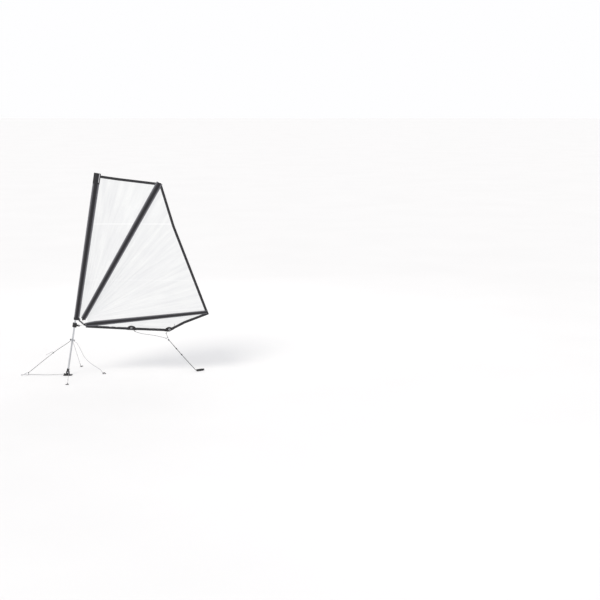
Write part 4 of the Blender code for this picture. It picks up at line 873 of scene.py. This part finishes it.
SLEEVE_ROWS = (-0.0215, 0.0215)
# the sleeves' painted highlight: where it starts and where it is full across the sleeve, and its colour
SLEEVE_PAINTED_HIGHLIGHT = (0.009, 0.023, "#74747A")
LOOKS = {
    "charcoal_sailcloth": woven(
        "sleeve_cloth", "#1B1A1E", "#252429", 0.0009, 0.85, SLEEVE_ROWS, "#6C6C72", SLEEVE_PAINTED_HIGHLIGHT
    ),
    "black_tape": woven("tape_webbing", "#1A1A1D", "#29292D", 0.0013, 0.8, (0.0155, 0.0195), "#505055"),
    "patch_cloth": woven("patch_webbing", "#131315", "#1F1F22", 0.0011, 0.8, (0.0045, 0.0095), "#5A5A60"),
    "grey_webbing": woven("tab_webbing", "#A9A9AD", "#BDBDC1", 0.0011, 0.8),
    "white_sailcloth": sail_look(),
    "pale_cord": braid_look("cord_pale", "#A2A1A4", "#5B5A5E", "#85848A"),
    "mid_cord": braid_look("cord_mid", "#66656A", "#323136", "#85848A"),
    "grey_cord": braid_look("cord_grey", "#1A1A1D", "#060607", "#2A2A2E"),
    "black_nylon": moulded_look(),
    "stainless_steel": metal_look("steel_polished", "#C3C4C7", "#97989C", 0.24, (1, 1, 1), 0.0, 240.0),
    "bright_aluminium": metal_look(
        "aluminium_drawn", "#CBCDD0", "#B2B4B8", 0.38, (1, 1, 0.03), MAST_RAKE, 700.0
    ),
    "carbon_tube": carbon_look(),
}


def nearest_height(line, x):
    """The height of a line of the sail plane at a distance aft."""
    for start, end in zip(line, line[1:]):
        if start.x <= x <= end.x:
            return lerp(start.z, end.z, (x - start.x) / (end.x - start.x))
    return line[-1].z


def fan_blend(piece, fore, aft, heel, fore_lean, aft_lean):
    """Let cloth fold like a fan: each point's share is its lean about the heel, between the two poles."""
    far = heel + Vector((math.sin(aft_lean), 0, math.cos(aft_lean)))
    near = heel + Vector((math.sin(fore_lean), 0, math.cos(fore_lean)))
    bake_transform(piece, fore, aft, start=near, end=far)
    shares = piece.data.attributes["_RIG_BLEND"].data
    for vert, share in zip(piece.data.vertices, shares):
        lean = math.atan2(vert.co.x - heel.x, vert.co.z - heel.z)
        share.value = min(1.0, max(0.0, (lean - fore_lean) / (aft_lean - fore_lean)))


def dress(piece, slot_name, held_by=None, replaces=()):
    """Give a piece the body or the fan that holds it, and hide the solids it stands for; the slot name is not
    used.
    """
    if isinstance(held_by, str):
        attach(piece, held_by)
    if replaces:
        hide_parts(*replaces)
    if isinstance(held_by, tuple):
        fan_blend(piece, *held_by)
    return piece


# Rigid fittings keep their solids and get their finish
for node, item in frame["nodes"].items():
    slot_name = next(part["material_slot"] for part in frame["record"]["subparts"] if part["node"] == node)
    if item.material_slots:
        item.material_slots[0].material = LOOKS[slot_name]
    else:
        item.data.materials.append(LOOKS[slot_name])


# Sail cloth
def luff_side(reach):
    """A point just inside the luff sleeve's aft edge."""
    return MAST @ Vector((luff_edges(reach)[1] - SLEEVE_TUCK, 0, reach))


def sprit_side(reach, way):
    """A point just inside the sprit sleeve's edge: way is -1 before the pole and 1 behind it."""
    return SPRIT @ Vector((way * (sprit_edges(reach)[0] - SLEEVE_TUCK), 0, reach))


def boom_side(reach, way):
    """A point just inside the boom sleeve's edge: way is -1 above the pole and 1 below it."""
    return BOOM @ Vector((way * (boom_edges(reach)[0] - SLEEVE_TUCK), 0, reach))


def spread(name, solid, held_by, size, sides, *form):
    """A panel of sailcloth inside four lines, held taut by a body or by a fan."""
    panel = cloth_panel(name, sides, *form, LOOKS["white_sailcloth"])
    dress(panel, "white_sailcloth", held_by, [solid])


HEAD = [flat(point) for point in HEAD_LINE]
LEECH = [flat(point) for point in LEECH_LINE]
FOOT = [flat(point) for point in FOOT_LINE]
LUFF_SIDE = (luff_side(LUFF_LOW), luff_side(LUFF_HIGH))
BOOM_UNDER = (boom_side(BOOM_FULL_AT, 1), boom_side(BOOM_LENGTH, 1))
UPPER_FAN = ("luff", "sprit", SPRIT_HEEL, MAST_RAKE, SPRIT_LEAN)
MAIN_FAN = ("sprit", "boom", (SPRIT_HEEL + BOOM_HEEL) / 2, SPRIT_LEAN, BOOM_LEAN)
seam = TAPE_WIDTH - SEAM_TUCK
head_seam = inset_line(HEAD, seam)
leech_seam = inset_line(LEECH, seam)
foot_seam = inset_line(FOOT, -seam)

sprit_fore = (sprit_side(SLEEVE_LOW, -1), sprit_side(SPRIT_LENGTH, -1))
low = [luff_side(LUFF_LOW + UPPER_STARTS[0]), sprit_side(UPPER_STARTS[1], -1)]
high = [crossing(LUFF_SIDE, head_seam[0:2]), head_seam[1], crossing(sprit_fore, head_seam[1:3])]
lines = (low, high, [low[0], high[0]], [low[1], high[-1]])
spread("sail_upper", "upper_panel", UPPER_FAN, (0.55, 1.32), lines, (64, 150), UPPER_BELLY, 1.0, 7)

sprit_aft = (sprit_side(SLEEVE_LOW, 1), sprit_side(SPRIT_LENGTH, 1))
boom_over = (boom_side(BOOM_FULL_AT, -1), boom_side(BOOM_LENGTH, -1))
near = [sprit_side(MAIN_START, 1), boom_side(MAIN_START, -1)]
far = [crossing(sprit_aft, leech_seam[0:2]), leech_seam[1], crossing(boom_over, leech_seam[1:3])]
lines = (near, far, [near[0], far[0]], [near[1], boom_over[0], far[2]])
spread("sail_main", "main_panel", MAIN_FAN, (1.27, 1.27), lines, (150, 150), MAIN_BELLY, 0.7, 11)

fore_margin, aft_margin, top_margin = FOOT_MARGINS
fore_meet = crossing(foot_seam[0:2], BOOM_UNDER)
aft_meet = crossing(foot_seam[3:5], BOOM_UNDER)
low = [fore_meet.lerp(foot_seam[1], fore_margin), *foot_seam[1:4], aft_meet.lerp(foot_seam[3], aft_margin)]
high = [fore_meet.lerp(aft_meet, top_margin), aft_meet.lerp(fore_meet, top_margin)]
lines = (low, high, [low[0], high[0]], [low[-1], high[-1]])
spread("sail_foot", "foot_panel", "boom", (0.97, 0.12), lines, (150, 14), 0.0, 1.0, 15)

# Edge tapes
black = LOOKS["black_tape"]
head_inner = inset_line(HEAD, TAPE_WIDTH)
leech_inner = inset_line(LEECH, TAPE_WIDTH)
foot_inner = inset_line(FOOT, -TAPE_WIDTH)
peak = crossing(head_inner[1:3], leech_inner[0:2])
clew = crossing(leech_inner[1:3], BOOM_UNDER)
fore_in = crossing(foot_inner[0:2], BOOM_UNDER)
aft_in = crossing(foot_inner[3:5], BOOM_UNDER)
head_out = [crossing(LUFF_SIDE, HEAD[0:2]), HEAD[1], HEAD[2], LEECH[0]]
head_in = [crossing(LUFF_SIDE, head_inner[0:2]), head_inner[1], peak, peak]
foot_out = [FOOT[0], nearest_on(FOOT, fore_in), *FOOT[1:4], nearest_on(FOOT, aft_in), FOOT[4]]
foot_in = [boom_side(SLEEVE_LOW, 1), fore_in, *foot_inner[1:4], aft_in, clew]
for edge, held_by, outer, inner in (
    ("head", UPPER_FAN, head_out, head_in),
    ("leech", MAIN_FAN, LEECH, [peak, leech_inner[1], clew]),
    ("foot", "boom", foot_out, foot_in),
):
    dress(tape(f"{edge}_binding", outer, inner, black), "black_tape", held_by, [f"{edge}_tape"])


# Sleeves
def sew(name, body, slot_name, solids, pole, low, high, count, **form):
    """A sleeve on its pole, with the body that carries it."""
    piece = sleeve(name, *pole, low, high, LOOKS[slot_name], count, **form)
    dress(piece, slot_name, body, solids)


luff = (MAST, luff_edges, LUFF_CORE)
sprit = (SPRIT, sprit_edges, POLE_CORE)
boom = (BOOM, boom_edges, POLE_CORE)
cloth, binding, grow = "charcoal_sailcloth", "black_tape", BINDING_GROW
low, high = LUFF_LOW + LUFF_CLOTH_ENDS[0], LUFF_HIGH - LUFF_CLOTH_ENDS[1]
sew("luff_cloth", "luff", cloth, ["luff_sleeve"], luff, low, high, 150)
low, high = LUFF_LOW, LUFF_LOW + LUFF_HEM
sew("luff_hem_binding", "luff", binding, ["luff_hem"], luff, low, high, 6, grow=grow, wrinkle=0.0004)
low, high = LUFF_HIGH - LUFF_HEAD, LUFF_HIGH
solids = ["luff_head_band", "luff_head_cap"]
sew("luff_head_cover", "luff", binding, solids, luff, low, high, 20, grow=grow, wrinkle=0.0005, shut=True)
low, high, end = POCKET_LOW, SPRIT_POCKET_HIGH, SPRIT_LENGTH + POLE_PLAY
sew("sprit_cloth", "sprit", cloth, ["sprit_sleeve"], sprit, low, high, 170, pole_end=end)
low, high, end = POCKET_LOW, BOOM_POCKET_HIGH, BOOM_LENGTH + POLE_PLAY
sew("boom_cloth", "boom", cloth, ["boom_sleeve"], boom, low, high, 130, pole_end=end)

# Head tab: a narrow light webbing up the near side of the head cover, by its aft edge
tab_low = LUFF_HIGH - TAB_LOW
tab_line = [MAST @ Vector((TAB_AFT, -TAB_SIDE, tab_low + TAB_LENGTH * step / 16)) for step in range(17)]
tab_ways = [MAST.to_3x3() @ Vector((1, 0, 0))] * 17
tab = strip("head_tab", tab_line, tab_ways, TAB_WIDTH, WEBBING_THICK, LOOKS["grey_webbing"])
dress(tab, "charcoal_sailcloth", "luff")

# Tack strap and its lashing
strap_aft = luff_edges(LUFF_LOW)[1] + STRAP_REACH - STRAP_WIDTH / 2
strap_top = MAST @ Vector((strap_aft, -STRAP_STAND_OFF, LUFF_LOW + STRAP_LAP))
strap_low = MAST @ Vector((strap_aft, -STRAP_STAND_OFF, LUFF_LOW))
strap_bend = flat(STRAP_BEND)
strap_end = BOOM_HEEL + (strap_bend - BOOM_HEEL).normalized() * STRAP_SHORT
strap_line = smooth_route([strap_top, strap_low, strap_bend, strap_end], 28)
strap_ways = [flat((run.z, -run.x)) for run in headings(strap_line)]
strap = strip("tack_webbing", strap_line, strap_ways, STRAP_WIDTH, STRAP_THICK, black)
dress(strap, "black_tape", "luff", ["tack_strap"])

eye = MAST @ LASHING_EYE
reach = BOOM_HEEL - eye
run = reach.normalized()
far_turn = eye + run * (reach.length - LASHING_SHORT)
web = Vector((0, LASHING_HALF, 0))
nose, turn = [run * length for length in LASHING_TURN]
over = [eye + web + nose, eye + web + turn, far_turn + web - turn]
under = [far_turn - web - turn, eye - web + turn, eye - web + nose]
loop = smooth_route([eye, *over, far_turn, *under, eye], 65)[:-1]
lashing = loop_of("tack_lashing_cord", loop, LASHING_RADIUS, LOOKS["pale_cord"])
dress(lashing, "pale_cord", "luff", ["tack_lashing"])

# Foot patches
for number, x in enumerate(PATCH_REACHES, start=1):
    foot_at = nearest_height(FOOT, x)
    fore, aft = [flat((end, nearest_height(FOOT, end))) for end in (x - PATCH_RADIUS, x + PATCH_RADIUS)]
    edge = [fore, *(spot for spot in FOOT if abs(spot.x - x) < PATCH_RADIUS * 0.9), aft]
    outline = [spot - Vector((0, 0, PATCH_LIP)) for spot in edge]
    for step in range(1, 32):
        angle = math.pi * step / 32
        spot = flat((x + PATCH_RADIUS * math.cos(angle), foot_at + PATCH_RISE * math.sin(angle)))
        if spot.z > nearest_height(FOOT, spot.x) + PATCH_LIP:
            outline.append(spot)
    centre = flat((x, foot_at + EYELET_RISE))
    piece = patch(f"foot_half_round_{number}", outline, centre, LOOKS["patch_cloth"])
    dress(piece, "black_tape", "boom", [f"foot_patch_{number}"])

# Pressed rings on the strap, by the tack and at the sprit's top, and a bar of webbing above the foot tape
side = Vector((0, STRAP_RING_SIDE, 0))
strap_rings = [("luff", at_share(strap_line, share) - side, (0, -1, 0)) for share in STRAP_RING_SHARES]
for number, (body, centre, facing) in enumerate([*strap_rings, *RING_SPOTS], start=1):
    place, way = Vector(centre), Vector(facing)
    ring = grommet(f"small_ring_{number}", place, way, RING_RADIUS, RING_WIRE, LOOKS["stainless_steel"])
    dress(ring, "stainless_steel", body)
bar_line = [BAR_LOW + Vector((0, 0, BAR_LENGTH * step / 8)) for step in range(9)]
bar = strip("foot_bar", bar_line, [Vector((1, 0, 0))] * 9, BAR_WIDTH, BAR_THICK, LOOKS["grey_webbing"])
dress(bar, "black_tape", "boom")


# Cords: each follows the route of its solid, with its knots as pieces of their own
def eased(start, target):
    """The start of a route, with points that keep it straight on to its target."""
    return start + [start[-1].lerp(target, share) for share in (0.03, 0.10, 0.40)]


def through_plate(across, out, radius):
    """The knot above a hole of the stay plate, and the cord's way through the hole."""
    hole = MAST @ Vector((across * STAY_HOLE_REACH, out * STAY_HOLE_REACH, STAY_PLATE_REACH))
    rise = MAST.to_3x3() @ Vector((0, 0, 1))
    top = hole + rise * (PLATE_HALF + GAP + PLATE_KNOT_RISE * radius)
    return [top, hole, hole - rise * (PLATE_HALF + PLATE_DROP * radius)]


def both_ends(radius):
    """Where the knots of a cord's two ends lie along it."""
    return [KNOT_REACH * radius, -KNOT_REACH * radius]


def spot_on(route, reach):
    """The point at a distance along a route, from its far end where it is negative, and its way."""
    run = running(route)
    reach = reach if reach >= 0 else run[-1] + reach
    index = 0
    while index < len(run) - 2 and run[index + 1] < reach:
        index += 1
    part = (reach - run[index]) / (run[index + 1] - run[index])
    return route[index].lerp(route[index + 1], part), route[index + 1] - route[index]


def knotted(name, solid, points, radius, slot_name, knots, move, far_end, lay, count=60, look=None):
    """A cord with its knots, all moved alike. Each knot is a distance along it, negative from the far end."""
    look = look or LOOKS[slot_name]
    piece, route = rope(name, points, radius, look, count)
    dress(piece, slot_name, None, [solid])
    tied = []
    for number, reach in enumerate(knots, start=1):
        centre, way = spot_on(route, reach)
        item = knot(f"{name}_knot_{number}", centre, way, radius, look)
        tied.append(dress(item, slot_name))
    for item in [piece, *tied]:
        move(item)
    says = {"exit": tuple(route[0]), "far_end": far_end, "lay": lay, "with_pieces": tied, "path": route}
    running(route)[-1]


def from_deck_to_mast(low, high):
    return lambda item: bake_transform(item, "deck", "mast", start=tuple(low), end=tuple(high))


def on_deck(item):
    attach(item, "deck")


def with_boom(item):
    """The sheet and its bridle move with the boom, each with a mesh of its own."""
    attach(item, "boom")
    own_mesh(item)


pale, grey, mid = "pale_cord", "grey_cord", LOOKS["mid_cord"]
for name, solid, out in (("stay_port", "port_stay", 1), ("stay_starboard", "starboard_stay", -1)):
    ring = SIDE_RING * Vector((1, out, 1))
    inward = (MAST @ Vector((0, 0, STAY_PLATE_REACH)) - ring) * Vector((1, 1, 0))
    nose = ring + inward.normalized() * SIDE_RING_NOSE
    start = through_plate(0, out, STAY_RADIUS)
    tie = nose + (start[-1] - nose).normalized() * SIDE_TIE
    points = eased(start, tie) + [tie]
    knots = both_ends(STAY_RADIUS)
    knots.insert(1, ADJUSTER_SHARE * (start[0] - tie).length)
    move = from_deck_to_mast(tie, start[-1])
    knotted(name, solid, points, STAY_RADIUS, pale, knots, move, "object", "taut")

start = through_plate(-1, 0, UPHAUL_RADIUS)
bow_end = BOW_RING + UPHAUL_WAY.normalized() * BOW_RIM
points = eased(start, UPHAUL_KNOT) + [UPHAUL_KNOT, bow_end]
move = from_deck_to_mast(bow_end, start[-1])
knots = both_ends(UPHAUL_RADIUS)
knots.insert(1, -(bow_end - UPHAUL_KNOT).length)
knotted("uphaul_cord", "uphaul", points, UPHAUL_RADIUS, grey, knots, move, "object", "taut")
points = [UPHAUL_KNOT + TAIL_WAY * step for step in TAIL_STEPS] + [TAIL_END]
knotted("uphaul_tail_cord", "uphaul_tail", points, TAIL_RADIUS, pale, [], move, "bare", "loose", 20)

start = through_plate(1, 0, STAY_RADIUS)
points = [*start, *DOWNHAUL_ROUTE, DOWNHAUL_END]
move = from_deck_to_mast(DOWNHAUL_END, start[-1])
knots = both_ends(STAY_RADIUS)
knotted("downhaul_cord", "downhaul", points, STAY_RADIUS, pale, knots, move, "object", "hanging", 110)

start = BOW_RING + FALL_WAY.normalized() * BOW_RIM
middle = Vector(((start.x + BECKET.x) / 2, -BECKET_SIDE, FALL_MIDDLE_HEIGHT))
points = [start, middle, Vector((*FALL_NEAR_BECKET, BECKET.z))]
points += [BECKET + Vector((0, side, 0)) for side in (-BECKET_SIDE, 0, BECKET_SIDE)]
name, solid = "uphaul_fall_cord", "uphaul_fall"
knotted(name, solid, points, STAY_RADIUS, pale, knots, on_deck, "knot", "loose", 90, mid)

ties = []
for x, way in zip(PATCH_REACHES, HOOK_WAYS):
    run = flat(way).normalized()
    tie = flat((x, nearest_height(FOOT, x) + EYELET_RISE)) + run * HOOK_TIE
    ties.append([tie, tie + run * (HOOK_LEAD * BRIDLE_RADIUS)])
sag = [flat(point) for point in BRIDLE_SAG]
fore_end, aft_end = [BRIDLE_RING + flat(way).normalized() * RING_STAND_OFF for way in BRIDLE_WAYS]
knots = [BRIDLE_FIRST_KNOT * BRIDLE_RADIUS, -KNOT_REACH * BRIDLE_RADIUS]
for name, solid, points in (
    ("bridle_fore_cord", "bridle_fore_leg", eased(ties[0], sag[0]) + sag + [fore_end]),
    ("bridle_aft_cord", "bridle_aft_leg", eased(ties[1], aft_end) + [aft_end]),
):
    knotted(name, solid, points, BRIDLE_RADIUS, pale, knots, with_boom, "object", "hanging", 50, mid)

away = (Vector(SHEET_ROUTE[0]) - BRIDLE_RING).normalized()
lie = Vector((CLEAT.x - BRIDLE_RING.x, CLEAT.y, 0)).normalized()
mouth = CLEAT - lie * CLEAT_MOUTH
run_in = mouth - lie * CLEAT_RUN_IN[0] + Vector((0, 0, CLEAT_RUN_IN[1]))
points = [BRIDLE_RING + away * RING_STAND_OFF, *SHEET_ROUTE]
points += [run_in, mouth, CLEAT, CLEAT + lie * CLEAT_RUN_OUT]
length = running(smooth_route(points, SHEET_STEPS))[-1]
knots = both_ends(SHEET_RADIUS)
knots[1:1] = [share * length for share in SHEET_KNOT_SHARES]
name, solid = "sheet_cord", "sheet"
knotted(name, solid, points, SHEET_RADIUS, grey, knots, with_boom, "knot", "hanging", SHEET_STEPS)

# Floor: pale and matt, with a faint cloudiness that keeps it from looking like a cut-out
floor_mesh = bpy.data.meshes.new("floor")
corners = [(x * FLOOR_HALF, y * FLOOR_HALF, 0) for x, y in ((-1, -1), (1, -1), (1, 1), (-1, 1))]
floor_mesh.from_pydata(corners, [], [(0, 1, 2, 3)])
floor = placed("floor", floor_mesh)
floor_look, tree, shader = new_look("floor_matt", "#E1E1E2", 0.95)
spot = add(tree, "ShaderNodeTexCoord").outputs["Object"]
skin = tint(tree, mottle(tree, spot, 0.8, 0.0, 1.0), colour("#E0E0E1"), colour("#E2E2E3"))
paint(tree, shader, skin)
floor_mesh.materials.append(floor_look)

# Light: an even white studio, a soft key from the near side and two weak fills
world = bpy.data.worlds.new("studio")
bpy.context.scene.world = world
world.use_nodes = True
world.node_tree.nodes["Background"].inputs["Color"].default_value = colour("#FEFEFF")
world.node_tree.nodes["Background"].inputs["Strength"].default_value = 1.0
bpy.context.scene.view_settings.view_transform = "Standard"


def aim(item, way):
    item.rotation_euler = way.to_track_quat("-Z", "Y").to_euler()


sun = bpy.data.lights.new("key", "SUN")
sun.energy = SUN_POWER
sun.angle = SUN_SPREAD
sun.color = colour("#FFFAF2")[:3]
aim(placed("key", sun), SUN_WAY)
for name, place, target, size, power, code in LAMPS:
    lamp = bpy.data.lights.new(name, "AREA")
    lamp.shape = "RECTANGLE"
    lamp.size, lamp.size_y = size
    lamp.energy = power
    lamp.color = colour(code)[:3]
    item = placed(name, lamp)
    item.location = place
    aim(item, Vector(target) - Vector(place))

# Camera: the photograph's own view
lens = bpy.data.cameras.new("view")
lens.lens = VIEW_LENS
lens.sensor_width = 36
lens.clip_end = 200
view = placed("view", lens)
view.location = VIEW_PLACE
view.rotation_euler = (math.radians(90) - VIEW_DIP, 0, 0)
bpy.context.scene.camera = view
